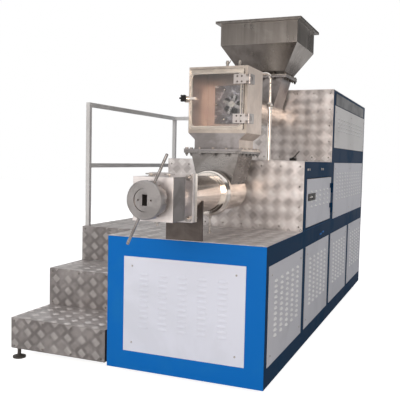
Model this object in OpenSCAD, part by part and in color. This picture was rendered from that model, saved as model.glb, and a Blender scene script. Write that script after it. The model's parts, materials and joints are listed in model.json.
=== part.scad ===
// Vacuum soap plodder: a two-stage screw press on a stepped, blue-framed
// cabinet. Soap falls from the hopper into the upper barrel, is cut into
// noodles inside the square vacuum chamber, drops through the bolted throat
// and leaves the lower barrel through the die at the front.
//
// Own axes: X = 0 is the machine's centre plane, Y = 0 the front face of the
// base, the die side at -Y, Z = 0 the floor. The last lines move the whole
// model so that the middle of its floor area is the origin.

/* [Cabinet] */
// width of the three cabinet tiers
machine_w = 900; // [860:10:1000]
// length of the base tier
machine_l = 3250; // [3200:10:3600]
// gap between floor and base, filled by the levelling feet
foot_h = 45; // [40:1:70]
// height of the base tier's blue box
base_h = 725; // [700:5:800]
// height of the middle tier's blue box
mid_h = 423; // [400:1:480]
// height of the top tier's blue box
top_h = 524; // [500:1:600]
// how far the middle tier's front stands behind the base's front
mid_setback = 756; // [750:1:800]
// how far the top tier's front stands behind the middle tier's front
top_setback = 869; // [860:1:900]
// thickness of the tread plate sheets
tread_t = 3; // [2:0.5:5]
// thickness of the louvred panels
panel_t = 3; // [2:0.5:4]
// blue border left around the louvred panels
border = 104; // [90:1:120]
// height of the dark bands above the top panels
band_h = 84; // [70:1:90]

/* [Service door] */
// height of the service door's leaf
door_h = 300; // [260:1:320]
// length of the service door's leaf
door_l = 772; // [700:1:780]
// thickness of the folded service door
door_t = 20; // [15:1:25]
// depth of the compartment behind the service door
bay_depth = 300; // [200:5:400]

/* [Lower barrel] */
// height of the lower screw axis above the base's deck
lower_axis_h = 232; // [225:1:260]
// outer radius of the front tube
tube_r = 101; // [96:1:106]
// outer radius of the rear body under the throat
body_r = 110; // [105:1:118]
// half width of the square barrel flanges
flange_half = 120; // [116:1:130]
// thickness of each square barrel flange
flange_t = 27; // [20:1:30]
// half width of the square head block
block_half = 104; // [100:1:110]
// length of the head block
block_l = 137; // [120:1:150]
// outer radius of the ring nut
nut_r = 90; // [84:1:96]
// length of the ring nut
nut_l = 60; // [50:1:70]
// radius of the die plate
die_r = 53; // [50:1:58]
// width of the die's soap slot
slot_w = 25; // [20:1:30]
// height of the die's soap slot
slot_h = 52; // [40:1:60]
// length of each tommy bar beyond the nut
bar_l = 142; // [120:1:150]
// radius of the tommy bars
bar_r = 7; // [6:0.5:8]
// lean of the tommy bars from upright, in degrees
bar_lean = 25; // [0:1:45]

/* [Vacuum chamber] */
// half width of the chamber
cham_half = 180; // [175:1:190]
// depth of the chamber from front to back
cham_d = 290; // [270:1:292]
// height of the square part of the chamber
cham_h = 380; // [360:1:400]
// wall thickness of the chamber
cham_wall = 8; // [6:1:12]
// half width of the window
win_half = 155; // [140:1:158]
// height of the window
win_h = 300; // [280:1:310]
// height of the upper screw axis above the middle tier's deck
upper_axis_h = 339; // [330:1:350]
// outer radius of the upper barrel
upper_r = 90; // [80:1:95]
// thickness of the clear door
glass_t = 20; // [15:1:25]
// radius of the cutter's blades
cutter_r = 62; // [50:1:64]

/* [Throat] */
// half width of the throat at its bolted flange
throat_half = 148; // [145:1:155]
// half width of the throat where it meets the barrel
throat_low_half = 94; // [88:1:98]
// depth of the throat from front to back
throat_d = 265; // [250:1:270]
// gap between the throat and the middle tier's front
throat_gap = 66; // [60:1:90]
// thickness of each bolted throat flange
joint_t = 12; // [10:1:14]
// sheet thickness of throats and hopper
sheet_t = 4; // [3:0.5:6]

/* [Hopper] */
// half width of the hopper's box, across the machine
hop_half = 272; // [250:1:290]
// length of the hopper's box, along the machine
hop_l = 515; // [480:5:540]
// height of the hopper's straight upper box
hop_box_h = 145; // [130:1:160]
// height of the hopper's taper
hop_taper_h = 192; // [180:1:210]
// width of the hopper's rim
rim_w = 30; // [20:1:40]
// thickness of the hopper's rim
rim_t = 18; // [12:1:22]
// how far the hopper's front stands ahead of the top tier's front
hop_ahead = 425; // [420:1:445]
// height of the hopper's joint above the upper screw axis
hop_joint_h = 263; // [250:1:280]
// half width of the hopper's mouth at its flange
mouth_half = 150; // [140:1:155]
// depth of the hopper's mouth at its flange
mouth_d = 250; // [230:1:260]

/* [Stair] */
// width of the stair and platform
stair_w = 638; // [600:1:700]
// height of the first step above the floor
step_first = 242; // [230:1:250]
// rise of the second step and of the platform
step_rise = 237; // [220:1:245]
// depth of each tread
step_going = 375; // [350:1:378]
// length of the platform
plat_l = 1480; // [1400:10:1600]
// height of the handrail above the platform
rail_h = 855; // [820:5:900]
// width of the railing's square tube
rail_tube = 30; // [25:1:35]

/* [Fits] */
// clearance around doors and turning pieces
clear = 5; // [5:0.5:8]
// clearance between a pin and its bore
pin_fit = 0.5; // [0.4:0.1:1]
// end play between hinge knuckles
knuckle_gap = 1.5; // [1:0.5:2]

/* [Hidden] */
$fn = 48;
eps = 0.01;
half_w = machine_w/2;
base_top = foot_h + base_h;
deck_z = base_top + tread_t;
mid_top = base_top + mid_h;
mid_deck_z = mid_top + tread_t;
top_top = mid_top + top_h;
mid_y = mid_setback;
top_y = mid_setback + top_setback;

// louvred panels: four bays on the base, one beside the door, one on top
base_bays = 4;
bay_gap = 83;
bay_l = (machine_l - 45 - 40 - (base_bays - 1)*bay_gap)/base_bays;
panel_z0 = foot_h + border;
panel_z1 = base_top - border;

// service door in the middle tier's right side
door_y1 = mid_y + 861;
door_y0 = door_y1 - door_l;
door_z0 = base_top + 16;
door_z1 = door_z0 + door_h;
door_out = 2;
pin_r = 5;
knuckle_r = 8;
door_pin_x = half_w + knuckle_r + 3;
door_pin_y = door_y1 + clear;
door_knuckle_l = 34;
door_hinge_z = [door_z0 + 45, door_z1 - 45 - 2*door_knuckle_l];

// lower press
axis_z = deck_z + lower_axis_h;
front_flange_y = -170;
ring_gap = 4;
tube_y0 = front_flange_y + 2*flange_t + ring_gap;
ring_r = body_r + 20;
ring_t = 50;
lip_r = tube_r + 17;
head_y1 = front_flange_y - 55;
head_y0 = head_y1 - block_l;
collar_l = 28;
nut_y1 = head_y0 - collar_l;
nut_y0 = nut_y1 - nut_l;
die_recess = 6;
notches = 8;

// throat and its bolted joint
throat_y1 = mid_y - throat_gap;
throat_y0 = throat_y1 - throat_d;
ring_y = throat_y0 - 95;
joint_lip = 28;
joint_z1 = mid_deck_z + 59;
joint_z0 = joint_z1 - 2*joint_t;
joint_half = throat_half + joint_lip;

// vacuum chamber
cham_y0 = throat_y0 + glass_t + clear;
cham_y1 = cham_y0 + cham_d;
neck_half = 138;
neck_y1 = cham_y1 - 28;
neck_h = 55;
bevel_h = 40;
cham_z0 = joint_z1 + neck_h + bevel_h;
cham_z1 = cham_z0 + cham_h;
win_z0 = cham_z0 + 37;
win_r = 22;
upper_z = mid_deck_z + upper_axis_h;
front_frame_t = 14;
joint_y0 = throat_y0 - joint_lip - 15;
joint_y1 = cham_y1 + 4;

// chamber door, closed by a clamp that rides on it
glass_half = cham_half - 14;
glass_z0 = cham_z0 + 16;
glass_z1 = cham_z1 - 16;
glass_y1 = cham_y0 - clear;
glass_y0 = glass_y1 - glass_t;
hinge_x = cham_half + 18;
hinge_y = glass_y0 + 6;
hinge_r = 12;
leaf_t = 8;
leaf_h = 54;
hinge_h = 24;
lug_h = (leaf_h - hinge_h)/2 - knuckle_gap;
hinge_zs = [glass_z0 + 36, glass_z1 - 36 - leaf_h];
clamp_z = (glass_z0 + glass_z1)/2 + 6;

// cutter
plate_half = 117;
plate_t = 14;
boss_t = 3;
plate_y = cham_y1 - cham_wall - plate_t;
shaft_r = 10;
blade_t = 8;
blade_w = 17;

// hopper and upper throat
hop_y0 = top_y - hop_ahead;
hop_y1 = hop_y0 + hop_l;
mouth_y = hop_y0 + hop_l/2 - mouth_d/2;
hop_joint_z1 = upper_z + hop_joint_h;
hop_joint_z0 = hop_joint_z1 - 2*joint_t;
taper_z1 = hop_joint_z1 + hop_taper_h;
hop_z1 = taper_z1 + hop_box_h + rim_t;
up_throat_half = mouth_half - 8;
up_throat_low = 76;

// vacuum pipe
pipe_x = 160;
pipe_y = mid_y + 224;
pipe_z = cham_z1 + 25;
pipe_r = 9;
riser_r = 12.5;
union_z = upper_z + 13;
bend_r = 32;

// stair
stair_gap = 12;
stair_x1 = -half_w - stair_gap;
stair_x0 = stair_x1 - stair_w;
riser_z0 = foot_h + 14;
steps = 2;
plat_y0 = steps*step_going;
plat_y1 = plat_y0 + plat_l;
plat_z = step_first + steps*step_rise;
beam = 50;
step_t = tread_t + 1;
side_in = 2;
rail_x = stair_x0 + rail_tube/2 + 6;
knee_h = 405;

// floor area, for the origin
x_min = stair_x0;
x_max = door_pin_x + knuckle_r;
y_min = nut_y0;
y_max = machine_l + panel_t;
to_centre = [-(x_min + x_max)/2, -(y_min + y_max)/2, 0];

// which piece to show

blue = [0.07, 0.35, 0.65];
white = [0.84, 0.84, 0.87];
steel = [0.72, 0.70, 0.67];
tread = [0.66, 0.63, 0.62];
dark = [0.10, 0.10, 0.11];

// ---- shared shapes -------------------------------------------------------

// box given by its corner planes
module span(x0, x1, y0, y1, z0, z1) {
  translate([x0, y0, z0]) cube([x1 - x0, y1 - y0, z1 - z0]);
}

// round bar along +Y, starting at y
module rod_y(x, y, z, r, l) {
  translate([x, y, z]) rotate([-90, 0, 0]) cylinder(r = r, h = l);
}

// profile of (radius, y) points turned about a screw axis at height z
module turned(z, pts) {
  translate([0, 0, z]) rotate([-90, 0, 0]) rotate_extrude($fn = 96) polygon(pts);
}

// rectangle with quarter-round corners, standing in the XZ plane
module rounded_window(half, z0, h, r, y0, y1) {
  translate([0, y1, z0]) rotate([90, 0, 0]) linear_extrude(y1 - y0) {
    translate([-half + r, 0]) square([2*half - 2*r, h]);
    translate([-half, r]) square([2*half, h - 2*r]);
    for (x = [-half + r, half - r], z = [r, h - r])
      translate([x, z]) circle(r = r);
  }
}

// four-sided duct between two levels; lo and hi are [half width, y0, y1]
module duct(lo, hi, z0, z1) {
  polyhedron(
    points = [
      [-lo[0], lo[1], z0], [lo[0], lo[1], z0], [lo[0], lo[2], z0], [-lo[0], lo[2], z0],
      [-hi[0], hi[1], z1], [hi[0], hi[1], z1], [hi[0], hi[2], z1], [-hi[0], hi[2], z1]],
    faces = [[0, 1, 2, 3], [7, 6, 5, 4], [0, 4, 5, 1], [1, 5, 6, 2], [2, 6, 7, 3],
      [3, 7, 4, 0]]);
}

// hexagon bolt head or nut with its axis along Z
module hex(x, y, z, across, h) {
  translate([x, y, z]) cylinder(d = across/cos(30), h = h, $fn = 6);
}

// disc foot and threaded stem from the floor to height h
module foot(x, y, h, disc_r, stem_r) {
  translate([x, y, 0]) {
    cylinder(r = disc_r, h = 10);
    translate([0, 0, 10]) cylinder(r1 = disc_r*0.7, r2 = stem_r + 3, h = 8);
    cylinder(r = stem_r, h = h);
  }
}

// ---- cabinet -------------------------------------------------------------

module base_cabinet() {
  color(blue) span(-half_w, half_w, 0, machine_l, foot_h, base_top);
}

module levelling_feet() {
  color(dark)
    for (x = [-half_w + 130, half_w - 130], i = [0:3])
      foot(x, 160 + i*(machine_l - 320)/3, foot_h, 40, 10);
}

module base_deck() {
  color(tread) span(-half_w, half_w, 0, mid_y, base_top, deck_z);
}

module front_panel() {
  color(white) span(-half_w + border, half_w - border, -panel_t, 0, panel_z0, panel_z1);
}

// panels of one long side; s is -1 for the left side and 1 for the right
module side_panels(s) {
  x0 = s > 0 ? half_w : -half_w - panel_t;
  x1 = x0 + panel_t;
  for (i = [0:base_bays - 1]) {
    y0 = 45 + i*(bay_l + bay_gap);
    span(x0, x1, y0, y0 + bay_l, panel_z0, panel_z1);
  }
  span(x0, x1, door_y1 + 108, machine_l - 60, base_top + 3, mid_top - 4);
  span(x0, x1, top_y + 70, machine_l - 50, mid_top + 108, top_top - 24 - band_h);
}

module right_panels() {
  color(white) side_panels(1);
}

// the left side has a fixed panel where the right side has the service door
module left_panels() {
  color(white) {
    side_panels(-1);
    span(-half_w - panel_t, -half_w, door_y0, door_y1, door_z0, door_z1);
  }
}

module rear_panels() {
  color(white)
    for (z = [[panel_z0, panel_z1], [base_top + 70, mid_top - 50],
        [mid_top + 108, top_top - 108]])
      span(-half_w + border, half_w - border, machine_l, y_max, z[0], z[1]);
}

// frame halves of the two lift-off hinges: leaf, knuckle and pin
module service_hinges() {
  for (z = door_hinge_z) {
    translate([door_pin_x, door_pin_y, z]) {
      cylinder(r = knuckle_r, h = door_knuckle_l);
      cylinder(r = pin_r, h = 2*door_knuckle_l);
    }
    span(half_w, half_w + 4, door_pin_y, door_pin_y + 40, z, z + door_knuckle_l);
    span(half_w, door_pin_x, door_pin_y, door_pin_y + 8, z, z + door_knuckle_l);
  }
}

module mid_cabinet() {
  color(steel) service_hinges();
  color(blue) difference() {
    span(-half_w, half_w, mid_y + tread_t, machine_l, base_top, mid_top);
    span(half_w - bay_depth, half_w + eps, door_y0 - clear, door_y1 + clear,
      door_z0 - clear, door_z1 + clear);
  }
}

module mid_front_plate() {
  color(tread) span(-half_w, half_w, mid_y, mid_y + tread_t, base_top, mid_deck_z);
}

module mid_deck() {
  color(tread) span(-half_w, half_w, mid_y + tread_t, top_y, mid_top, mid_deck_z);
}

// folded pan: outer sheet with a return flange on its four sides
module service_door() {
  x1 = half_w + door_out;
  color(white) difference() {
    span(x1 - door_t, x1, door_y0, door_y1, door_z0, door_z1);
    span(x1 - door_t - eps, x1 - panel_t, door_y0 + panel_t, door_y1 - panel_t,
      door_z0 + panel_t, door_z1 - panel_t);
  }
}

// flush paddle latch and the door halves of the hinges
module service_door_latch() {
  x1 = half_w + door_out;
  z_mid = door_z0 + 0.62*door_h;
  color(dark) difference() {
    span(x1, x1 + 6, door_y0 + 30, door_y0 + 190, z_mid - 30, z_mid + 30);
    span(x1 + 2, x1 + 7, door_y0 + 45, door_y0 + 130, z_mid - 18, z_mid + 18);
  }
  color(steel) for (z0 = door_hinge_z) {
    z = z0 + door_knuckle_l + knuckle_gap;
    difference() {
      union() {
        translate([door_pin_x, door_pin_y, z]) cylinder(r = knuckle_r, h = door_knuckle_l);
        span(x1, x1 + 4, door_y1 - 40, door_pin_y, z, z + door_knuckle_l);
      }
      translate([door_pin_x, door_pin_y, z - 1])
        cylinder(r = pin_r + pin_fit, h = door_knuckle_l + 2);
    }
  }
}

module top_cabinet() {
  color(blue) span(-half_w, half_w, top_y + tread_t, machine_l, mid_top, top_top);
}

module top_front_plate() {
  color(tread) span(-half_w, half_w, top_y, top_y + tread_t, mid_top, top_top + tread_t);
}

module top_cover() {
  color(tread) span(-half_w, half_w, top_y + tread_t, machine_l, top_top, top_top + tread_t);
}

// dark glossy strips above the top panels
module top_bands() {
  color(dark) for (x = [-half_w - panel_t, half_w])
    span(x, x + panel_t, top_y + 90, machine_l - 110, top_top - 18 - band_h, top_top - 18);
}

// ---- lower press ---------------------------------------------------------

// upright plate on the deck that cradles the front tube
module barrel_stand() {
  half = tube_r + 2;
  color(steel) difference() {
    span(-half, half, 3, 15, deck_z, axis_z - 22);
    rod_y(0, 0, axis_z, tube_r, 20);
  }
}

// flange, front tube, ring joint, rear body and neck into the cabinet
module lower_barrel() {
  color(steel) union() {
    translate([-flange_half, front_flange_y + flange_t + ring_gap, axis_z - flange_half])
      cube([2*flange_half, flange_t, 2*flange_half]);
    turned(axis_z, [
      [0, front_flange_y + flange_t], [70, front_flange_y + flange_t],
      [70, tube_y0 - 5], [tube_r, tube_y0 - 5], [tube_r, ring_y - 15],
      [lip_r - 2, ring_y - 15], [lip_r, ring_y - 13], [lip_r, ring_y + 6],
      [ring_r - 4, ring_y + 12], [ring_r, ring_y + 20], [ring_r, ring_y + ring_t],
      [ring_r - 5, ring_y + ring_t + 12], [body_r, ring_y + ring_t + 20],
      [body_r, throat_y1], [76, throat_y1], [76, mid_y], [0, mid_y]]);
  }
}

// jack screw under the ring joint
module drain_jack() {
  y = ring_y + ring_t - 12;
  color(steel) difference() {
    union() {
      translate([0, y, deck_z]) cylinder(r = 13, h = 10);
      translate([0, y, deck_z]) cylinder(r = 7, h = lower_axis_h - ring_r + 2);
      hex(0, y, deck_z + 44, 24, 14);
      translate([0, y, axis_z - ring_r - 16]) cylinder(r = 10, h = 20);
    }
    rod_y(0, y - 30, axis_z, ring_r, 60);
  }
}

// neck between head block and front flange
module head_neck() {
  color(steel) union() {
    translate([-flange_half, front_flange_y, axis_z - flange_half])
      cube([2*flange_half, flange_t, 2*flange_half]);
    turned(axis_z, [[0, head_y1], [92, head_y1], [96, head_y1 + 14], [90, head_y1 + 34],
      [90, front_flange_y], [0, front_flange_y]]);
  }
}

// stud and two nuts at each corner of the square flanges
module flange_studs() {
  r = flange_half - 20;
  color(steel) for (x = [-r, r], z = [-r, r]) {
    rod_y(x, front_flange_y - 34, axis_z + z, 8, 34);
    translate([x, front_flange_y - 16, axis_z + z]) rotate([-90, 0, 0])
      hex(0, 0, 0, 28, 16);
    translate([x, tube_y0, axis_z + z]) rotate([-90, 0, 0]) hex(0, 0, 0, 28, 14);
  }
}

module head_block() {
  color(steel) difference() {
    union() {
      translate([-block_half, head_y0, axis_z - block_half])
        cube([2*block_half, block_l, 2*block_half]);
      rod_y(0, nut_y1, axis_z, 66, collar_l + 1);
    }
    span(-slot_w/2, slot_w/2, nut_y1 - 1, head_y1 - 30, axis_z - slot_h/2,
      axis_z + slot_h/2);
  }
}

// two clamp discs on top and a heater or thermometer well underneath
module head_fittings() {
  z0 = axis_z + block_half;
  color(steel) for (x = [-45, 50]) {
    translate([x, head_y0 + 70, z0]) cylinder(r = 6, h = 9);
    translate([x, head_y0 + 70, z0 + 9]) cylinder(r = 27, h = 6);
  }
  color(steel) {
    hex(-4, head_y0 + 60, axis_z - block_half - 12, 26, 12);
    translate([-4, head_y0 + 60, axis_z - block_half - 26]) cylinder(r = 7, h = 26);
  }
}

// round nut with spanner notches, bored for the die plate and the tommy bars
module ring_nut() {
  color(steel) difference() {
    turned(axis_z, [[die_r + pin_fit, nut_y0], [nut_r - 4, nut_y0], [nut_r, nut_y0 + 4],
      [nut_r, nut_y1 - 3], [nut_r - 3, nut_y1], [die_r + pin_fit, nut_y1]]);
    for (i = [0:notches - 1])
      translate([0, 0, axis_z]) rotate([0, bar_lean + (i + 0.5)*360/notches, 0])
        translate([-13, nut_y0 + 14, nut_r - 7]) cube([26, nut_l - 13, 20]);
    for (a = [0, 180])
      translate([0, (nut_y0 + nut_y1)/2, axis_z]) rotate([0, a + bar_lean, 0])
        translate([0, 0, nut_r - 22]) cylinder(r = bar_r + pin_fit, h = 30);
  }
}

module die_plate() {
  color(steel) difference() {
    rod_y(0, nut_y0 + die_recess, axis_z, die_r, nut_l - die_recess);
    span(-slot_w/2, slot_w/2, nut_y0, nut_y1 + 1, axis_z - slot_h/2, axis_z + slot_h/2);
    for (x = [-33, 33]) rod_y(x, nut_y0, axis_z, 4.5, die_recess + 12);
  }
}

module tommy_bars() {
  color(steel) for (a = [0, 180])
    translate([0, (nut_y0 + nut_y1)/2, axis_z]) rotate([0, a + bar_lean, 0])
      translate([0, 0, nut_r - 22]) {
        cylinder(r = bar_r, h = bar_l + 19);
        translate([0, 0, bar_l + 19]) cylinder(r1 = bar_r, r2 = bar_r - 2, h = 3);
      }
}

// ---- throat and vacuum chamber -------------------------------------------

// duct that widens upward from the lower barrel, with its bolting flange
module throat() {
  z_low = axis_z + 25;
  color(steel) difference() {
    union() {
      duct([throat_low_half, throat_y0, throat_y1], [throat_half, throat_y0, throat_y1],
        z_low, joint_z0);
      span(-joint_half, joint_half, joint_y0, joint_y1, joint_z0, joint_z0 + joint_t);
    }
    duct([throat_low_half - sheet_t, throat_y0 + sheet_t, throat_y1 - sheet_t],
      [throat_half - sheet_t, throat_y0 + sheet_t, throat_y1 - sheet_t],
      z_low - 1, joint_z0 + eps);
    span(-neck_half + cham_wall, neck_half - cham_wall, cham_y0 + front_frame_t,
      throat_y1 - sheet_t, joint_z0 - 1, joint_z1);
    rod_y(0, throat_y0 - 10, axis_z, body_r, throat_d + 20);
  }
}

// square shell with a rounded window, bevelled neck and bolting flange
module vacuum_chamber() {
  w = cham_wall;
  y0 = cham_y0;
  y1 = cham_y1;
  color(steel) difference() {
    union() {
      span(-cham_half, cham_half, y0, y1, cham_z0, cham_z1);
      duct([neck_half, y0, neck_y1], [cham_half, y0, y1], cham_z0 - bevel_h, cham_z0);
      span(-neck_half, neck_half, y0, neck_y1, joint_z1, cham_z0 - bevel_h);
      span(-joint_half, joint_half, joint_y0, joint_y1, joint_z1 - joint_t, joint_z1);
      span(-cham_half - 28, -cham_half, y0 + 3, y0 + 21, clamp_z - 18, clamp_z + 18);
    }
    span(-cham_half + w, cham_half - w, y0 + front_frame_t, y1 - w, cham_z0, cham_z1 - w);
    duct([neck_half - w, y0 + front_frame_t, neck_y1 - w],
      [cham_half - w, y0 + front_frame_t, y1 - w], cham_z0 - bevel_h, cham_z0 + eps);
    span(-neck_half + w, neck_half - w, y0 + front_frame_t, neck_y1 - w,
      joint_z1 - joint_t - 1, cham_z0 - bevel_h + eps);
    rounded_window(win_half, win_z0, win_h, win_r, y0 - 1, y0 + front_frame_t + 1);
  }
}

// fixed halves of the door hinges: a slotted block with its pin
module chamber_hinges() {
  color(steel) for (z = hinge_zs) {
    difference() {
      union() {
        translate([hinge_x, hinge_y, z]) cylinder(r = hinge_r, h = leaf_h);
        span(cham_half, hinge_x + hinge_r, hinge_y, cham_y0 + 36, z, z + leaf_h);
      }
      span(cham_half - 1, hinge_x + hinge_r + 1, hinge_y - hinge_r - 1, hinge_y + hinge_r + 2,
        z + lug_h, z + leaf_h - lug_h);
    }
    translate([hinge_x, hinge_y, z - 4]) cylinder(r = pin_r, h = leaf_h + 8);
  }
}

module chamber_door() {
  color([0.85, 0.9, 0.92, 0.4])
    rounded_window(glass_half, glass_z0, glass_z1 - glass_z0, 10, glass_y0, glass_y1);
}

// door halves of the hinges, clamped on the clear plate
module door_leaves() {
  z_in = (leaf_h - hinge_h)/2;
  color(steel) for (z = hinge_zs) difference() {
    union() {
      span(glass_half - 60, hinge_x - 17, glass_y0 - leaf_t, glass_y0, z, z + leaf_h);
      span(glass_half - 60, hinge_x, glass_y0 - leaf_t, glass_y0, z + z_in, z + z_in + hinge_h);
      translate([hinge_x, hinge_y, z + z_in]) cylinder(r = hinge_r, h = hinge_h);
    }
    translate([hinge_x, hinge_y, z + z_in - 1]) cylinder(r = pin_r + pin_fit, h = hinge_h + 2);
  }
}

// star knob and bright bar that hold the door's free edge
module door_clamp() {
  x = -glass_half - 28;
  color(steel) {
    span(x - 10, -glass_half + 42, glass_y0 - 14, glass_y0, clamp_z - 7, clamp_z + 7);
    rod_y(x, glass_y0 - 20, clamp_z, 6, 20 + glass_t);
  }
  color(dark) {
    rod_y(x, glass_y0 - 34, clamp_z, 14, 20);
    for (a = [0:60:300])
      rod_y(x + 16*cos(a), glass_y0 - 34, clamp_z + 16*sin(a), 6, 20);
  }
}

// bolted square plate on the rear wall with the noodle openings
module cutter_plate() {
  color(steel) difference() {
    union() {
      translate([-plate_half, plate_y, upper_z - plate_half]) cube([2*plate_half, plate_t, 2*plate_half]);
      rod_y(0, plate_y - boss_t, upper_z, 66, boss_t + 1);
      for (a = [0:60:300]) rod_y(104*cos(a), plate_y - 9, upper_z + 104*sin(a), 8.5, 10);
    }
    for (a = [0:60:300]) translate([104*cos(a), plate_y - 10, upper_z + 104*sin(a)])
      rotate([-90, 0, 0]) cylinder(d = 10, h = 5, $fn = 6);
    for (a = [3:72:291])
      rod_y(43*cos(a), plate_y - 10, upper_z + 43*sin(a), 15.5, plate_t + 12);
    rod_y(0, plate_y - 10, upper_z, shaft_r + pin_fit, plate_t + 12);
  }
}

// four blades on a hub that the upper screw turns
module cutter() {
  y1 = plate_y - boss_t - clear;
  color(steel) {
    rod_y(0, y1 - blade_t - 8, upper_z, 18, blade_t + 7);
    rod_y(0, y1 - 2, upper_z, shaft_r, clear + boss_t + plate_t);
    for (a = [20, 110])
      translate([0, y1 - blade_t/2, upper_z]) rotate([0, a, 0])
        cube([2*cutter_r, blade_t, blade_w], center = true);
  }
}

// ---- upper press ---------------------------------------------------------

module upper_barrel() {
  color(steel) turned(upper_z, [[0, cham_y1], [upper_r + 28, cham_y1], [upper_r + 28, cham_y1 + 22],
    [upper_r + 6, cham_y1 + 30], [upper_r, cham_y1 + 44], [upper_r, top_y], [0, top_y]]);
}

module upper_throat() {
  y0 = mouth_y + 8;
  y1 = mouth_y + mouth_d - 4;
  z_low = upper_z + 20;
  color(steel) difference() {
    union() {
      duct([up_throat_low, y0, y1], [up_throat_half, y0, y1], z_low, hop_joint_z0);
      span(-mouth_half - joint_lip, mouth_half + joint_lip, mouth_y - joint_lip,
        mouth_y + mouth_d + joint_lip, hop_joint_z0, hop_joint_z0 + joint_t);
    }
    duct([up_throat_low - sheet_t, y0 + sheet_t, y1 - sheet_t],
      [up_throat_half - sheet_t, y0 + sheet_t, y1 - sheet_t], z_low - 1,
      hop_joint_z0 + joint_t + 1);
    rod_y(0, y0 - 1, upper_z, upper_r, y1 - y0 + 2);
  }
}

// open hopper: rim, straight box, taper and bolting flange
module hopper() {
  t = sheet_t;
  box = [hop_half, hop_y0, hop_y1];
  mouth = [mouth_half, mouth_y, mouth_y + mouth_d];
  color(steel) difference() {
    union() {
      span(-box[0], box[0], box[1], box[2], taper_z1, hop_z1);
      duct(mouth, box, hop_joint_z1, taper_z1);
      span(-mouth_half - joint_lip, mouth_half + joint_lip, mouth_y - joint_lip,
        mouth_y + mouth_d + joint_lip, hop_joint_z1 - joint_t, hop_joint_z1);
      span(-box[0] - rim_w, box[0] + rim_w, box[1] - rim_w, box[2] + rim_w,
        hop_z1 - rim_t, hop_z1);
    }
    span(-box[0] + t, box[0] - t, box[1] + t, box[2] - t, taper_z1, hop_z1 + 1);
    duct(mouth - [t, -t, t], box - [t, -t, t], hop_joint_z1, taper_z1 + eps);
    span(-mouth_half + t, mouth_half - t, mouth_y + t, mouth_y + mouth_d - t,
      hop_joint_z1 - joint_t - 1, hop_joint_z1 + eps);
  }
}

// line from the chamber's rear wall over to a screwed union and down its riser
module vacuum_pipe() {
  z_out = cham_z1 - 30;
  color(steel) {
    rod_y(0, cham_y1, z_out, pipe_r, pipe_y - cham_y1);
    translate([0, pipe_y, z_out]) sphere(r = pipe_r + 2);
    translate([0, pipe_y, z_out]) cylinder(r = pipe_r, h = pipe_z - z_out);
    translate([0, pipe_y, pipe_z]) sphere(r = pipe_r + 2);
    translate([0, pipe_y, pipe_z]) rotate([0, 90, 0])
      cylinder(r = pipe_r, h = pipe_x - bend_r);
    translate([pipe_x - bend_r, pipe_y, pipe_z - bend_r]) rotate([90, 0, 0])
      rotate_extrude(angle = 90) translate([bend_r, 0]) circle(r = pipe_r);
    translate([pipe_x, pipe_y, union_z]) cylinder(r = pipe_r, h = pipe_z - bend_r - union_z);
    translate([pipe_x, pipe_y, 0]) {
      translate([0, 0, mid_deck_z]) cylinder(r = 26, h = 6);
      translate([0, 0, mid_deck_z]) cylinder(r = riser_r, h = union_z - mid_deck_z);
      translate([0, 0, union_z - 24]) cylinder(r = 18, h = 16);
      hex(0, 0, union_z - 8, 34, 18);
      translate([0, 0, union_z + 10]) cylinder(r = 14, h = 10);
    }
  }
}

// small lever switch on the middle deck
module lever_switch() {
  x = half_w - 105;
  y = mid_y + 136;
  color(dark) {
    span(x - 20, x + 20, y - 12, y + 13, mid_deck_z, mid_deck_z + 18);
    translate([x, y, mid_deck_z + 16]) rotate([0, 40, 0]) cylinder(r = 3, h = 60);
    translate([x, y, mid_deck_z + 16]) sphere(r = 9);
  }
}

// ---- stair ---------------------------------------------------------------

// outline of the steps in the YZ plane, moved in by t
function step_line(t) = [
  [t, riser_z0], [t, step_first - t], [step_going + t, step_first - t],
  [step_going + t, step_first + step_rise - t],
  [plat_y0, step_first + step_rise - t]];

// folded tread plate: riser, tread, riser, tread
module stair_steps() {
  inner = step_line(step_t);
  color(tread) translate([stair_x0, 0, 0]) rotate([90, 0, 90]) linear_extrude(stair_w)
    polygon(concat(step_line(0), [for (i = [4:-1:0]) inner[i]]));
}

// side sheets under the steps
module stair_sides() {
  color(tread) for (x = [stair_x0 + side_in, stair_x1 - side_in - tread_t])
    translate([x, 0, 0]) rotate([90, 0, 90]) linear_extrude(tread_t)
      polygon(concat(step_line(step_t), [[plat_y0, riser_z0]]));
}

// levelling feet under three flat bars that run between the side sheets
module stair_feet() {
  in = side_in + tread_t;
  color(dark) {
    for (y = [5, 215, plat_y0 - 80])
      span(stair_x0 + in, stair_x1 - in, y, y + 40, riser_z0, riser_z0 + 5);
    for (p = [[stair_x0 + 40, 25], [stair_x1 - 52, 235], [stair_x0 + 52, plat_y0 - 60],
        [stair_x1 - 52, plat_y0 - 60]])
      foot(p[0], p[1], riser_z0 + 5, 38, 11);
  }
}

// platform sheet with the third riser folded down
module platform() {
  color(tread) {
    span(stair_x0, stair_x1, plat_y0, plat_y1, plat_z - step_t, plat_z);
    span(stair_x0, stair_x1, plat_y0, plat_y0 + step_t, plat_z - step_rise, plat_z - step_t);
  }
}

// edge beams, legs and feet under the platform, and the pads against the cabinet
module platform_frame() {
  x0 = stair_x0;
  x1 = stair_x1;
  y0 = plat_y0 + step_t;
  z1 = plat_z - step_t;
  color(steel) {
    for (x = [x0, x1 - beam]) span(x, x + beam, y0, plat_y1, z1 - beam, z1);
    for (y = [y0, (y0 + plat_y1 - beam)/2, plat_y1 - beam])
      span(x0 + beam, x1 - beam, y, y + beam, z1 - beam, z1);
    for (y = [y0 + 200, plat_y1 - 300]) span(x1, -half_w, y, y + 60, z1 - 40, z1 - 10);
    for (x = [x0, x1 - beam], y = [y0, plat_y1 - beam]) {
      span(x, x + beam, y, y + beam, foot_h, z1 - beam);
      foot(x + beam/2, y + beam/2, foot_h, beam/2, 11);
    }
  }
}

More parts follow.
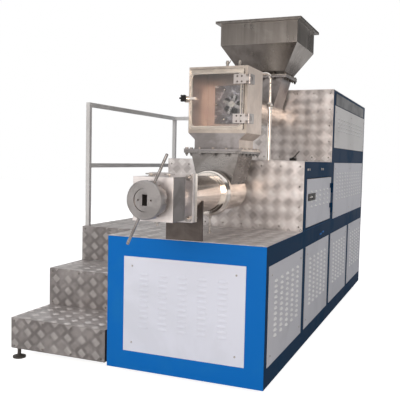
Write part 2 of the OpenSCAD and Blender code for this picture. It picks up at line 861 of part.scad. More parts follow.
// posts with a handrail and a knee rail, turned in at the rear
module railing() {
  t = rail_tube;
  y0 = plat_y0 + 25;
  y1 = plat_y1 - t - 6;
  x0 = rail_x - t/2;
  color(white) {
    for (y = [y0, y1]) span(x0, x0 + t, y, y + t, plat_z, plat_z + rail_h - t);
    span(x0, x0 + t, y0, y1 + t, plat_z + rail_h - t, plat_z + rail_h);
    span(x0, x0 + t, y0 + t, y1, plat_z + knee_h, plat_z + knee_h + t);
    span(stair_x1 - t, stair_x1, y1, y1 + t, plat_z, plat_z + rail_h - t);
    for (z = [knee_h, rail_h - t])
      span(x0 + t, stair_x1, y1, y1 + t, plat_z + z, plat_z + z + t);
  }
}

// ---- assembly ------------------------------------------------------------

// moves the machine's own axes to the middle of its floor area
module placed() {
  translate(to_centre) children();
}

placed() base_cabinet();
placed() levelling_feet();
placed() base_deck();
placed() front_panel();
placed() right_panels();
placed() left_panels();
placed() rear_panels();
placed() mid_cabinet();
placed() mid_front_plate();
placed() mid_deck();
placed() service_door();
placed() service_door_latch();
placed() top_cabinet();
placed() top_front_plate();
placed() top_cover();
placed() top_bands();
placed() barrel_stand();
placed() lower_barrel();
placed() drain_jack();
placed() head_neck();
placed() flange_studs();
placed() head_block();
placed() head_fittings();
placed() ring_nut();
placed() die_plate();
placed() tommy_bars();
placed() throat();
placed() vacuum_chamber();
placed() chamber_hinges();
placed() chamber_door();
placed() door_leaves();
placed() door_clamp();
placed() cutter_plate();
placed() cutter();
placed() upper_barrel();
placed() upper_throat();
placed() hopper();
placed() vacuum_pipe();
placed() lever_switch();
placed() stair_steps();
placed() stair_sides();
placed() stair_feet();
placed() platform();
placed() platform_frame();
placed() railing();
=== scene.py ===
import json
import math
import bmesh
import bpy
import numpy as np
from mathutils import Matrix, Vector

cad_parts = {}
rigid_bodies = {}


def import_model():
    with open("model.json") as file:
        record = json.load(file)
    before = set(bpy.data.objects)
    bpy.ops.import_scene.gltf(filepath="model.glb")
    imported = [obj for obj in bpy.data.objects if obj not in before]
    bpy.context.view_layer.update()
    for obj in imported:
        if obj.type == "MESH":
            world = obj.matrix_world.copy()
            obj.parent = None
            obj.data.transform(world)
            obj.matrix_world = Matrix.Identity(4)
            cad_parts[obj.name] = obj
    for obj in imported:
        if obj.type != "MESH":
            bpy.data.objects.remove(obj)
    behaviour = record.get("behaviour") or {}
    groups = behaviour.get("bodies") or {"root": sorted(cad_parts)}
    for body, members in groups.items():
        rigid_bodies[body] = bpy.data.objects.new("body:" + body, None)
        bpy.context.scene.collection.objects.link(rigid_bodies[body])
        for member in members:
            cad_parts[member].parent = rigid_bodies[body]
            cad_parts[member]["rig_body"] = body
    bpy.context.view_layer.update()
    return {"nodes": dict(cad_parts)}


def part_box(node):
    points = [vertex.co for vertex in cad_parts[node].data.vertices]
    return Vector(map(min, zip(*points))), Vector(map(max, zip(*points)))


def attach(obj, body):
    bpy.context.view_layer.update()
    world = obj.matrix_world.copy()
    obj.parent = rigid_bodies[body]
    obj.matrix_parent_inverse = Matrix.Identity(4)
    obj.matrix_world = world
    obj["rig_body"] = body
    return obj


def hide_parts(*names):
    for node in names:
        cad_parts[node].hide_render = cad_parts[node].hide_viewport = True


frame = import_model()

print("packed model loaded")

# Pieces are laid out in millimetres from the cabinet's centre plane, its front face and
# the floor, and placed in metres when their mesh is made.
cabinetLow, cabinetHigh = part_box("base_cabinet")
originShift = np.array([(cabinetLow.x + cabinetHigh.x) / 2, cabinetLow.y, 0.0])


def toLayout(points):
    return (np.asarray(points) - originShift) * 1000


def toFrame(points):
    return np.asarray(points, float) * 0.001 + originShift


def limits(node):
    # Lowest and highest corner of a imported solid, in the layout's millimetres.
    low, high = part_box(node)
    return toLayout(low), toLayout(high)


def bodyOf(node):
    return frame["nodes"][node]["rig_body"]


def newGroup(name, inputs, outputs):
    # Empty shader group; inputs are (name, socket kind, default), outputs are names.
    group = bpy.data.node_groups.new(name, "ShaderNodeTree")
    for label, kind, default in inputs:
        socket = group.interface.new_socket(label, in_out="INPUT", socket_type=kind)
        if default is not None:
            socket.default_value = default
    for label in outputs:
        group.interface.new_socket(label, in_out="OUTPUT", socket_type="NodeSocketFloat")
    return group, group.nodes.new("NodeGroupInput").outputs, group.nodes.new("NodeGroupOutput")


def addNode(tree, kind, inputs=None, **settings):
    # New node; each input is linked where a socket is given, and set where a value is.
    node = tree.nodes.new(kind)
    for key, value in settings.items():
        setattr(node, key, value)
    for key, value in (inputs or {}).items():
        if isinstance(value, bpy.types.NodeSocket):
            tree.links.new(value, node.inputs[key])
        else:
            node.inputs[key].default_value = value
    return node


def mathNode(tree, operation, *values, **settings):
    node = addNode(tree, "ShaderNodeMath", dict(enumerate(values)), operation=operation,
                   **settings)
    return node.outputs[0]


def noiseNode(tree, **inputs):
    named = {key.title(): value for key, value in inputs.items()}
    return addNode(tree, "ShaderNodeTexNoise", named).outputs["Fac"]


def mixColours(tree, factor, first, second):
    blend = addNode(tree, "ShaderNodeMix", {0: factor, 6: (*first, 1), 7: (*second, 1)},
                    data_type="RGBA", clamp_factor=True)
    return blend.outputs[2]


grainLook = {"detail": 3.0, "roughness": 0.6, "broadScale": 0.08, "broadDetail": 2.0}


def buildGrain():
    # Brushed grain: fine noise on a stretched vector, with a broad wave of shade over it.
    group, start, end = newGroup(
        "brushedGrain",
        [("Vector", "NodeSocketVector", None), ("Stretch", "NodeSocketVector", (1, 1, 1)),
         ("Depth", "NodeSocketFloat", 0.5)],
        ["Shade", "Height"])
    stretched = addNode(group, "ShaderNodeVectorMath", {0: start["Vector"], 1: start["Stretch"]},
                        operation="MULTIPLY").outputs[0]
    fine = noiseNode(group, vector=stretched, scale=1.0, detail=grainLook["detail"],
                     roughness=grainLook["roughness"])
    broad = noiseNode(group, vector=stretched, scale=grainLook["broadScale"],
                      detail=grainLook["broadDetail"])
    centred = mathNode(group, "SUBTRACT", mathNode(group, "ADD", fine, broad), 1.0)
    group.links.new(mathNode(group, "MULTIPLY", centred, start["Depth"]), end.inputs["Shade"])
    group.links.new(fine, end.inputs["Height"])
    return group


marksLook = {"detail": 4.0, "roughness": 0.62, "distortion": 0.6, "level": 0.82, "fade": 0.22}


def buildMarks():
    # Handling marks: soft cloud mask, with the sharper edge of a wiped patch in it.
    group, start, end = newGroup(
        "handledMarks",
        [("Vector", "NodeSocketVector", None), ("Scale", "NodeSocketFloat", 3.0),
         ("Cover", "NodeSocketFloat", 0.5)],
        ["Mask"])
    cloud = noiseNode(group, vector=start["Vector"], scale=start["Scale"],
                      detail=marksLook["detail"], roughness=marksLook["roughness"],
                      distortion=marksLook["distortion"])
    low = mathNode(group, "SUBTRACT", marksLook["level"], start["Cover"])
    high = mathNode(group, "ADD", low, marksLook["fade"])
    mask = addNode(group, "ShaderNodeMapRange",
                   {"Value": cloud, "From Min": low, "From Max": high},
                   interpolation_type="SMOOTHSTEP")
    group.links.new(mask.outputs["Result"], end.inputs["Mask"])
    return group


grainGroup = buildGrain()
marksGroup = buildMarks()


def startFinish(name):
    finish = bpy.data.materials.new(name)
    finish.use_nodes = True
    tree = finish.node_tree
    where = addNode(tree, "ShaderNodeTexCoord").outputs["Object"]
    return finish, tree, tree.nodes["Principled BSDF"].inputs, where


def addMarks(tree, where, scale, cover):
    marks = addNode(tree, "ShaderNodeGroup", {"Vector": where, "Scale": scale, "Cover": cover},
                    node_tree=marksGroup)
    return marks.outputs["Mask"]


def addRelief(tree, shader, height, strength, distance):
    relief = addNode(tree, "ShaderNodeBump",
                     {"Height": height, "Strength": strength, "Distance": distance})
    tree.links.new(relief.outputs["Normal"], shader["Normal"])


metalLook = {"cover": 0.45, "bump": 0.05, "metallic": 1.0, "depth": 0.0004,
             "streakGloss": 0.35}


def metalFinish(name, tone, marked, rough, spread, stretch, grain, markScale, **changes):
    # Metal whose tone and gloss shift along its grain and under handling marks.
    look = {**metalLook, **changes}
    finish, tree, shader, where = startFinish(name)
    streak = addNode(tree, "ShaderNodeGroup",
                     {"Vector": where, "Stretch": stretch, "Depth": grain},
                     node_tree=grainGroup).outputs
    mask = addMarks(tree, where, markScale, look["cover"])
    colour = addNode(tree, "ShaderNodeVectorMath",
                     {0: mixColours(tree, mask, tone, marked),
                      "Scale": mathNode(tree, "ADD", streak["Shade"], 1.0)},
                     operation="SCALE")
    tree.links.new(colour.outputs[0], shader["Base Color"])
    patchy = mathNode(tree, "MULTIPLY_ADD", mask, spread, rough)
    tree.links.new(mathNode(tree, "MULTIPLY_ADD", streak["Shade"], look["streakGloss"],
                            patchy, use_clamp=True), shader["Roughness"])
    addRelief(tree, shader, streak["Height"], look["bump"], look["depth"])
    shader["Metallic"].default_value = look["metallic"]
    return finish


paintLook = {"markScale": 2.5, "cover": 0.35, "peel": 0.02, "specular": 0.5, "depth": 0.0005,
             "spread": 0.12, "peelScale": 420.0, "peelDetail": 2.0}


def paintFinish(name, tone, dusted, rough, **changes):
    # Sprayed paint: fine orange peel, faint dust in clouds and slightly uneven gloss.
    look = {**paintLook, **changes}
    finish, tree, shader, where = startFinish(name)
    mask = addMarks(tree, where, look["markScale"], look["cover"])
    tree.links.new(mixColours(tree, mask, tone, dusted), shader["Base Color"])
    tree.links.new(mathNode(tree, "MULTIPLY_ADD", mask, look["spread"], rough),
                   shader["Roughness"])
    orange = noiseNode(tree, vector=where, scale=look["peelScale"], detail=look["peelDetail"])
    addRelief(tree, shader, orange, look["peel"], look["depth"])
    shader["Specular IOR Level"].default_value = look["specular"]
    return finish


clearLook = {"index": 1.49, "specular": 0.15, "hazeScale": 14.0, "hazeDetail": 3.0,
             "haze": 0.02}


def clearFinish(name, tone, rough):
    # Clear plate; shadow rays pass so that what is behind it stays lit.
    finish, tree, shader, where = startFinish(name)
    for label, value in (("Base Color", (*tone, 1)), ("Roughness", rough),
                         ("IOR", clearLook["index"]), ("Transmission Weight", 1.0),
                         ("Specular IOR Level", clearLook["specular"])):
        shader[label].default_value = value
    haze = noiseNode(tree, vector=where, scale=clearLook["hazeScale"],
                     detail=clearLook["hazeDetail"])
    tree.links.new(mathNode(tree, "MULTIPLY_ADD", haze, clearLook["haze"], rough),
                   shader["Roughness"])
    through = addNode(tree, "ShaderNodeBsdfTransparent", {"Color": (*tone, 1)})
    path = addNode(tree, "ShaderNodeLightPath")
    blend = addNode(tree, "ShaderNodeMixShader",
                    {0: path.outputs["Is Shadow Ray"],
                     1: tree.nodes["Principled BSDF"].outputs["BSDF"],
                     2: through.outputs["BSDF"]})
    tree.links.new(blend.outputs[0], tree.nodes["Material Output"].inputs["Surface"])
    return finish


# paint: its tone, that of its dusty parts, roughness and changes of paintLook
paints = {
    "bluePaint": ((0.003, 0.135, 0.48), (0.006, 0.145, 0.47), 0.42, {"specular": 0.10}),
    # sideShadedBlue: darker copy of the blue paint for faces turned away from the key lamp:
    # painted shade
    "sideShadedBlue": ((0.0045, 0.034, 0.088), (0.008, 0.042, 0.098), 0.5, {"specular": 0.03}),
    # panelUpperLit, panelPaint and panelSide are lit and shaded copies of one white panel paint:
    # painted light on the upper side bays, painted shade on the side panels and the service door
    "panelUpperLit": ((0.72, 0.715, 0.72), (0.67, 0.665, 0.67), 0.46,
                    {"peel": 0.03, "specular": 0.3}),
    "panelPaint": ((0.66, 0.69, 0.79), (0.62, 0.65, 0.74), 0.46, {"peel": 0.03, "specular": 0.3}),
    "panelSide": ((0.635, 0.645, 0.71), (0.59, 0.60, 0.66), 0.46,
                  {"peel": 0.03, "specular": 0.3}),
    # hoodPaint: lighter copy of the panel paint for the side louvre hoods: painted highlight
    "hoodPaint": ((0.84, 0.85, 0.88), (0.76, 0.77, 0.80), 0.36, {"peel": 0.03}),
    "darkTrim": ((0.008, 0.020, 0.036), (0.05, 0.06, 0.075), 0.30,
                 {"cover": 0.4, "markScale": 6.0, "specular": 0.2}),
    "railPaint": ((0.62, 0.62, 0.62), (0.54, 0.54, 0.54), 0.40, {}),
    "blackPlastic": ((0.012, 0.011, 0.011), (0.03, 0.027, 0.027), 0.42,
                     {"peel": 0.08, "specular": 0.2}),
    "feetSteel": ((0.06, 0.055, 0.05), (0.12, 0.10, 0.09), 0.5, {"peel": 0.1}),
    "gasket": ((0.46, 0.42, 0.39), (0.36, 0.32, 0.29), 0.32, {}),
    # slotShade: dark finish for the louvre mouths: painted shade
    "slotShade": ((0.035, 0.035, 0.04), (0.05, 0.05, 0.05), 0.7, {"specular": 0.1}),
    # holeShade: near-black, painted shade on the noodle holes' walls and on discs at their
    # bottoms; the cutter plate's bolt heads take it too
    "holeShade": ((0.022, 0.020, 0.022), (0.04, 0.035, 0.035), 0.6, {"specular": 0.2}),
}

alongX, alongY, upright = (6, 500, 500), (500, 6, 500), (500, 500, 6)
# metal: its tone, that of its marks, roughness, how far the marks raise that, stretch
# and depth of the grain, scale of the marks, and changes of metalLook
metals = {
    "tread": ((0.68, 0.645, 0.64), (0.52, 0.49, 0.485), 0.32, 0.08, (60, 60, 60), 0.4, 7.0,
              {"bump": 0.12, "metallic": 0.65}),
    # treadRiserShaded: darker copy of the tread sheet for its upright faces: painted shade
    "treadRiserShaded": ((0.36, 0.335, 0.33), (0.24, 0.222, 0.218), 0.36, 0.08, (60, 60, 60), 0.4, 7.0,
                   {"bump": 0.12, "metallic": 0.7}),
    # The bar finishes are lit and shaded copies of one bar metal: painted highlight on one lean of
    # bars, painted shade on the other
    "treadBarLit": ((0.99, 0.97, 0.96), (0.92, 0.89, 0.88), 0.22, 0.08, (90, 90, 90), 0.2, 5.0,
                 {"cover": 0.4, "metallic": 0.2}),
    "deckBar": ((0.80, 0.76, 0.75), (0.64, 0.605, 0.595), 0.34, 0.08, (90, 90, 90), 0.2, 5.0,
                {"cover": 0.4, "metallic": 0.5}),
    "riserBar": ((0.80, 0.765, 0.75), (0.60, 0.57, 0.56), 0.30, 0.08, (90, 90, 90), 0.2, 9.0,
                 {"cover": 0.5, "metallic": 0.4}),
    "riserBarLow": ((0.52, 0.49, 0.48), (0.32, 0.30, 0.295), 0.28, 0.08, (90, 90, 90), 0.2, 9.0,
                    {"cover": 0.5, "metallic": 0.6}),
    "treadBarShaded": ((0.36, 0.335, 0.33), (0.26, 0.24, 0.235), 0.26, 0.08, (90, 90, 90), 0.2, 5.0,
                    {"cover": 0.5, "metallic": 0.7}),
    # frameFrontShaded: darker copy of frameSteel for the frame's front: painted shade
    "frameFrontShaded": ((0.56, 0.50, 0.45), (0.44, 0.39, 0.35), 0.42, 0.08, alongX, 0.14, 6.0,
                   {"metallic": 0.8}),
    "frameSteel": ((0.93, 0.83, 0.75), (0.83, 0.73, 0.66), 0.44, 0.08, alongX, 0.14, 4.0,
                   {"metallic": 0.75}),
    "throatSteel": ((0.29, 0.28, 0.275), (0.21, 0.20, 0.195), 0.28, 0.08, (14, 14, 90), 0.4, 8.0,
                    {"cover": 0.4}),
    "neckSteel": ((0.32, 0.305, 0.31), (0.25, 0.235, 0.235), 0.32, 0.08, (20, 20, 60), 0.35, 8.0,
                  {"cover": 0.4}),
    "polishedSteel": ((0.92, 0.86, 0.80), (0.80, 0.745, 0.70), 0.12, 0.07, (12, 900, 12), 0.12,
                      5.0, {"bump": 0.12}),
    "hingeSteel": ((0.50, 0.475, 0.47), (0.44, 0.415, 0.41), 0.32, 0.06, (70, 500, 70), 0.25,
                   25.0, {"cover": 0.3}),
    "machinedSteel": ((0.36, 0.345, 0.345), (0.27, 0.26, 0.26), 0.34, 0.08, (350, 20, 350), 0.2,
                      9.0, {"metallic": 0.85}),
    "flangeSteel": ((0.72, 0.69, 0.69), (0.58, 0.55, 0.55), 0.30, 0.08, (350, 20, 350), 0.2, 9.0,
                    {"metallic": 0.8}),
    "blockSteel": ((0.88, 0.835, 0.83), (0.76, 0.72, 0.715), 0.36, 0.06, alongX, 0.2, 6.0,
                   {"metallic": 0.85}),
    # blockSideShade: dark copy of the block steel for the head block's side faces: painted shade
    "blockSideShade": ((0.25, 0.24, 0.24), (0.19, 0.18, 0.18), 0.36, 0.06, alongY, 0.2, 6.0, {}),
    "standSteel": ((0.15, 0.13, 0.12), (0.11, 0.095, 0.09), 0.42, 0.08, upright, 0.2, 6.0, {}),
    "hopperSteel": ((0.29, 0.268, 0.25), (0.19, 0.172, 0.157), 0.20, 0.06, (40, 40, 1.2), 0.5,
                    2.2, {}),
    # hopperBoxLit: lighter copy of the hopper steel for the box above the taper: painted light
    "hopperBoxLit": ((0.42, 0.40, 0.385), (0.30, 0.28, 0.265), 0.24, 0.06, (40, 40, 1.2), 0.6, 2.6,
                  {}),
    # insideShadedSteel: darker copy of the chamber steel for its inner faces: painted shade
    "insideShadedSteel": ((0.42, 0.345, 0.315), (0.36, 0.29, 0.265), 0.32, 0.05, upright, 0.3, 3.0,
                    {"cover": 0.3}),
    "plateSteel": ((0.36, 0.34, 0.37), (0.15, 0.14, 0.15), 0.24, 0.14, (90, 90, 90), 0.4, 22.0,
                   {"cover": 0.5}),
    "nutSteel": ((0.34, 0.32, 0.31), (0.24, 0.225, 0.215), 0.28, 0.10, (80, 80, 80), 0.2, 40.0,
                 {}),
    "cutterSteel": ((0.34, 0.325, 0.33), (0.26, 0.25, 0.25), 0.24, 0.08, (80, 80, 80), 0.3, 30.0,
                    {}),
    "boltSteel": ((0.66, 0.62, 0.60), (0.42, 0.40, 0.38), 0.30, 0.12, (80, 80, 80), 0.2, 40.0,
                  {}),
    "barSteel": ((0.46, 0.43, 0.42), (0.30, 0.28, 0.27), 0.15, 0.08, (60, 60, 60), 0.3, 30.0, {}),
    "darkBolt": ((0.10, 0.09, 0.085), (0.2, 0.18, 0.16), 0.42, 0.12, (80, 80, 80), 0.2, 40.0, {}),
}

finishes = {"clearPlate": clearFinish("clearPlate", (0.97, 0.975, 0.965), 0.02)}
for name, (*look, changes) in paints.items():
    finishes[name] = paintFinish(name, *look, **changes)
for name, (*look, changes) in metals.items():
    finishes[name] = metalFinish(name, *look, **changes)
print("finishes made:", len(finishes))


def addPiece(name, points, faces, finish, body, slotName, smooth=None):
    # Mesh object from layout points and (corner rows, finish index) pairs; finish is one
    # name or the list that the indices pick from.
    corners, picks = [], []
    for block, pick in faces:
        corners.extend(block.tolist())
        picks.append(np.full(len(block), pick, np.int32))
    mesh = bpy.data.meshes.new(name)
    mesh.from_pydata(toFrame(points).tolist(), [], corners)
    for label in [finish] if isinstance(finish, str) else finish:
        mesh.materials.append(finishes[label])
    mesh.polygons.foreach_set("material_index", np.concatenate(picks))
    if smooth is not None:
        mesh.polygons.foreach_set("use_smooth", np.ones(len(corners), bool))
        mesh.set_sharp_from_angle(angle=math.radians(smooth))
    mesh.update()
    piece = bpy.data.objects.new(name, mesh)
    bpy.context.scene.collection.objects.link(piece)
    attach(piece, body)


def repeatShape(points, faces, places, turn=np.eye(3)):
    # Copies of one shape: every point turned by the 3 x 3 rows, then moved to each place.
    places = np.asarray(places, float)
    spread = points @ turn + places[:, None, :]
    steps = np.arange(len(places))[:, None, None] * len(points)
    return spread.reshape(-1, 3), [((block[None] + steps).reshape(-1, block.shape[1]), pick)
                                   for block, pick in faces]


def joinShapes(shapes):
    # One point array and face list out of several.
    starts = np.cumsum([0] + [len(points) for points, faces in shapes])
    return (np.concatenate([points for points, faces in shapes]),
            [(block + start, pick) for start, (points, faces) in zip(starts, shapes)
             for block, pick in faces])


def ringFaces(rings, sides):
    # Quads between rings of points that follow one another, and a fan to a pole at each end.
    step = np.arange(sides)
    after = (step + 1) % sides
    rows = np.arange(rings - 1)[:, None] * sides
    quads = np.stack([rows + step, rows + after, rows + sides + after, rows + sides + step],
                     2).reshape(-1, 4)
    last, pole = (rings - 1) * sides, rings * sides
    fans = np.concatenate([
        np.stack([np.full(sides, pole), after, step], 1),
        np.stack([np.full(sides, pole + 1), last + step, last + after], 1)])
    return [(quads, 0), (fans, 0)]


def turnedShape(profile, sides, start=0.0):
    # Profile of (radius, height) rows carried round +Z; its ends at radius 0 are the poles.
    # Point = (r cos a, r sin a, h) for each profile row and each of the sides' angles a.
    profile = np.asarray(profile, float)
    angle = start + np.arange(sides) * 2 * np.pi / sides
    ring = np.stack([np.cos(angle), np.sin(angle)], 1)
    inner = profile[1:-1]
    body = np.concatenate([
        inner[:, None, :1] * ring[None],
        np.broadcast_to(inner[:, None, 1:], (len(inner), sides, 1))], 2).reshape(-1, 3)
    poles = [[0, 0, profile[0, 1]], [0, 0, profile[-1, 1]]]
    return np.concatenate([body, poles]), ringFaces(len(inner), sides)


def rodShape(radius, length, sides):
    # Straight bar of one radius from 0 up to its length.
    return turnedShape([(0, 0), (radius, 0), (radius, length), (0, length)], sides)


def sweptTube(path, radius, sides=12):
    # Round bar along a path of points: ring points at path + r (cos a n + sin a b).
    path = np.asarray(path, float)
    along = np.gradient(path, axis=0)
    along /= np.linalg.norm(along, axis=1)[:, None]
    helper = np.array([0.31, 0.52, 0.79])  # a direction that no path here runs in
    normal = np.cross(along, helper)
    normal /= np.linalg.norm(normal, axis=1)[:, None]
    cross = np.cross(along, normal)
    angle = np.arange(sides) * 2 * np.pi / sides
    rings = (path[:, None] + radius * (np.cos(angle)[None, :, None] * normal[:, None]
             + np.sin(angle)[None, :, None] * cross[:, None])).reshape(-1, 3)
    return np.concatenate([rings, path[:1], path[-1:]]), ringFaces(len(path), sides)


def facing(direction):
    # Rows that turn a shape's +Z to a level direction and its +Y upright.
    normal = np.asarray(direction, float)
    side = np.cross((0, 0, 1.0), normal)
    return np.array([side, np.cross(normal, side), normal])


outwardOf = {"-y": (0, -1, 0), "+x": (1, 0, 0), "-x": (-1, 0, 0), "+y": (0, 1, 0)}


def setOnFace(shape, face, plane, spots):
    # Copies of a shape on an upright face, at (along, height) pairs.
    spots = np.asarray(spots, float)
    flat = np.full(len(spots), plane)
    level = (flat, spots[:, 0]) if face[1] == "x" else (spots[:, 0], flat)
    return repeatShape(*shape, np.stack([*level, spots[:, 1]], 1), facing(outwardOf[face]))


def readRows(faces, field):
    # Three numbers for each face of a mesh.
    values = np.empty(len(faces) * 3, np.float32)
    faces.foreach_get(field, values)
    return values.reshape(-1, 3)


rounding = {"merge": 2e-5, "joinAngle": 0.6, "crease": 30.0, "segments": 2, "faceWeight": 60}


def dressNode(node, finish, edge, regions=(), cuts=(), reshape=None):
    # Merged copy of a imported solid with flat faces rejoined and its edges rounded.
    shell = bmesh.new()
    shell.from_mesh(frame["nodes"][node].data)
    bmesh.ops.remove_doubles(shell, verts=shell.verts, dist=rounding["merge"])
    if reshape:
        moved = toFrame(reshape(toLayout([vertex.co[:] for vertex in shell.verts])))
        for vertex, spot in zip(shell.verts, moved):
            vertex.co = spot
    bmesh.ops.dissolve_limit(shell, angle_limit=math.radians(rounding["joinAngle"]),
                             verts=shell.verts, edges=shell.edges, delimit={"NORMAL"})
    for height in cuts:  # a flat face is split where its finish changes
        bmesh.ops.bisect_plane(shell, geom=shell.verts[:] + shell.edges[:] + shell.faces[:],
                               plane_co=toFrame((0, 0, height)), plane_no=(0, 0, 1))
    mesh = bpy.data.meshes.new("dressed_" + node)
    shell.to_mesh(mesh)
    shell.free()
    mesh.materials.clear()
    mesh.materials.append(finishes[finish])
    middle, normal = toLayout(readRows(mesh.polygons, "center")), readRows(mesh.polygons, "normal")
    pick = np.zeros(len(mesh.polygons), np.int32)
    for index, (other, chosen) in enumerate(regions):
        mesh.materials.append(finishes[other])
        pick[chosen(middle, normal)] = index + 1
    mesh.polygons.foreach_set("material_index", pick)
    mesh.polygons.foreach_set("use_smooth", np.ones(len(pick), bool))
    piece = bpy.data.objects.new("dressed_" + node, mesh)
    bpy.context.scene.collection.objects.link(piece)
    crease = math.radians(rounding["crease"])
    if edge:
        soften = piece.modifiers.new("roundedEdges", "BEVEL")
        soften.width = edge * 0.001
        soften.segments = rounding["segments"]
        soften.limit_method = "ANGLE"
        soften.angle_limit = crease
        soften.miter_outer = "MITER_ARC"
        even = piece.modifiers.new("flatFaces", "WEIGHTED_NORMAL")
        even.weight = rounding["faceWeight"]
        even.keep_sharp = True
    else:
        mesh.set_sharp_from_angle(angle=crease)
    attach(piece, bodyOf(node))
    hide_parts(node)


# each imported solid's finish, material slot and rounded edge
dressing = {
    "base_cabinet": ("bluePaint", "blue_paint", 3.0),
    "mid_cabinet": ("bluePaint", "blue_paint", 2.0),
    "top_cabinet": ("bluePaint", "blue_paint", 2.5),
    "levelling_feet": ("feetSteel", "dark_steel", 0.0),
    "base_deck": ("tread", "tread_plate", 0.8),
    "mid_deck": ("tread", "tread_plate", 0.8),
    "mid_front_plate": ("tread", "tread_plate", 0.8),
    "top_front_plate": ("tread", "tread_plate", 0.8),
    "top_cover": ("tread", "tread_plate", 0.8),
    "front_panel": ("panelPaint", "white_panel", 0.8),
    "right_panels": ("panelSide", "white_panel", 0.8),
    "left_panels": ("panelSide", "white_panel", 0.8),
    "rear_panels": ("panelPaint", "white_panel", 0.8),
    "service_door": ("panelSide", "white_panel", 1.0),
    "service_door_latch": ("blackPlastic", "black_plastic", 0.8),
    "top_bands": ("darkTrim", "glossy_trim", 0.8),
    "barrel_stand": ("standSteel", "brushed_steel", 1.0),
    "lower_barrel": ("polishedSteel", "brushed_steel", 1.5),
    "drain_jack": ("boltSteel", "brushed_steel", 0.6),
    "head_neck": ("flangeSteel", "brushed_steel", 1.5),
    "flange_studs": ("boltSteel", "brushed_steel", 0.6),
    "head_block": ("blockSteel", "brushed_steel", 1.6),
    "head_fittings": ("boltSteel", "brushed_steel", 0.8),
    "ring_nut": ("machinedSteel", "brushed_steel", 1.0),
    "die_plate": ("machinedSteel", "brushed_steel", 0.8),
    "tommy_bars": ("barSteel", "brushed_steel", 0.8),
    "throat": ("throatSteel", "brushed_steel", 1.2),
    "vacuum_chamber": ("frameSteel", "brushed_steel", 3.0),
    "chamber_hinges": ("hingeSteel", "brushed_steel", 0.8),
    "chamber_door": ("clearPlate", "clear_plastic", 1.5),
    "door_leaves": ("hingeSteel", "brushed_steel", 0.8),
    "door_clamp": ("blackPlastic", "black_plastic", 1.5),
    "cutter_plate": ("plateSteel", "brushed_steel", 1.0),
    "cutter": ("cutterSteel", "brushed_steel", 0.8),
    "upper_barrel": ("polishedSteel", "brushed_steel", 1.5),
    "upper_throat": ("neckSteel", "brushed_steel", 1.2),
    "hopper": ("hopperSteel", "brushed_steel", 1.5),
    "vacuum_pipe": ("polishedSteel", "brushed_steel", 0.0),
    "lever_switch": ("blackPlastic", "black_plastic", 0.8),
    "stair_steps": ("tread", "tread_plate", 1.2),
    "stair_sides": ("tread", "tread_plate", 0.8),
    "stair_feet": ("feetSteel", "dark_steel", 0.0),
    "platform": ("tread", "tread_plate", 1.2),
    "platform_frame": ("feetSteel", "dark_steel", 1.5),
    "railing": ("railPaint", "rail_tube", 3.0),
}

# Faces of a solid that take another finish are picked by the tests below, from their middles
# in layout millimetres and their normals.
facingShare = {"straight": 0.7, "upright": 0.5, "inward": 0.3}


def sidewards(middle, normal):
    return np.abs(normal[:, 0]) > facingShare["straight"]


def notRear(middle, normal):
    return normal[:, 1] < facingShare["straight"]


def risers(middle, normal):
    return np.abs(normal[:, 2]) < facingShare["upright"]


# Side panel faces above this height take the lighter panel paint: painted light
upperBayFrom = 1240.0


def upperBay(middle, normal):
    return middle[:, 2] > upperBayFrom


chamberBox = {"height": 380.0, "neckMargin": 2.0, "frameMargin": 5.0, "frameDepth": 75.0,
              "wallMargin": 2.0, "frontMargin": 8.0}
chamberLow, chamberHigh = limits("vacuum_chamber")
chamberFoot = chamberHigh[2] - chamberBox["height"]
chamberHalf = (chamberHigh[0] - chamberLow[0]) / 2
chamberMiddle = (chamberLow + chamberHigh) / 2
chamberMiddle[2] = chamberHigh[2] - chamberHalf
neckTop = chamberFoot - chamberBox["neckMargin"]


# These faces take the darker copy of the chamber steel: painted shade inside the chamber
def insideChamber(middle, normal):  # faces that look at the chamber's middle from within
    away = middle - chamberMiddle
    within = (np.abs(away[:, [0, 2]]) < chamberHalf - chamberBox["wallMargin"]).all(1)
    return (within & ((away * normal).sum(1) < 0)
            & (middle[:, 1] > chamberLow[1] + chamberBox["frontMargin"]))


# The frame's front takes the darker copy of the frame steel and its sides the lighter one: painted
# shade on the front
def frameFace(middle, normal):  # the front of the cast frame
    return ((normal[:, 1] < -facingShare["straight"])
            & (middle[:, 1] < chamberLow[1] + chamberBox["frameDepth"])
            & (middle[:, 2] > chamberFoot - chamberBox["frameMargin"]))


# The neck's right side keeps the lighter frame steel while the rest takes the darker neck steel:
# painted light on the right side
def neckFront(middle, normal):  # the sheet neck under the frame, apart from its right side
    return (middle[:, 2] < neckTop) & (normal[:, 0] < facingShare["inward"])


cutterPlate = {"bossHeight": 9.0, "bolts": 6, "boltCircle": 104.0, "headRadius": 9.0,
               "socketRadius": 5.0, "socketDepth": 8.0, "headMargin": 0.5, "hubRadius": 19.0}
noodleHoles = {"count": 5, "circle": 43.0, "firstAngle": 3.0, "drilled": 15.5, "opened": 19.5,
               "margin": 0.5}
plateLow, plateHigh = limits("cutter_plate")
plateFront = plateLow[1] + cutterPlate["bossHeight"]
plateCentre = ((plateLow + plateHigh) / 2)[[0, 2]]


def roundSpots(count, radius, firstAngle=0.0):
    # Spots round the plate's centre: (x, z) = centre + r (cos a, sin a), evenly spaced.
    angle = np.radians(firstAngle + 360 / count * np.arange(count))
    return plateCentre + radius * np.stack([np.cos(angle), np.sin(angle)], 1)


holeCentres = roundSpots(noodleHoles["count"], noodleHoles["circle"], noodleHoles["firstAngle"])
plateBolts = roundSpots(cutterPlate["bolts"], cutterPlate["boltCircle"])


def nearestGap(points, spots):
    # Offset of each point from the nearest of the spots, in X and Z.
    gaps = points[:, None, [0, 2]] - spots[None]
    return gaps[np.arange(len(points)), (gaps ** 2).sum(2).argmin(1)]


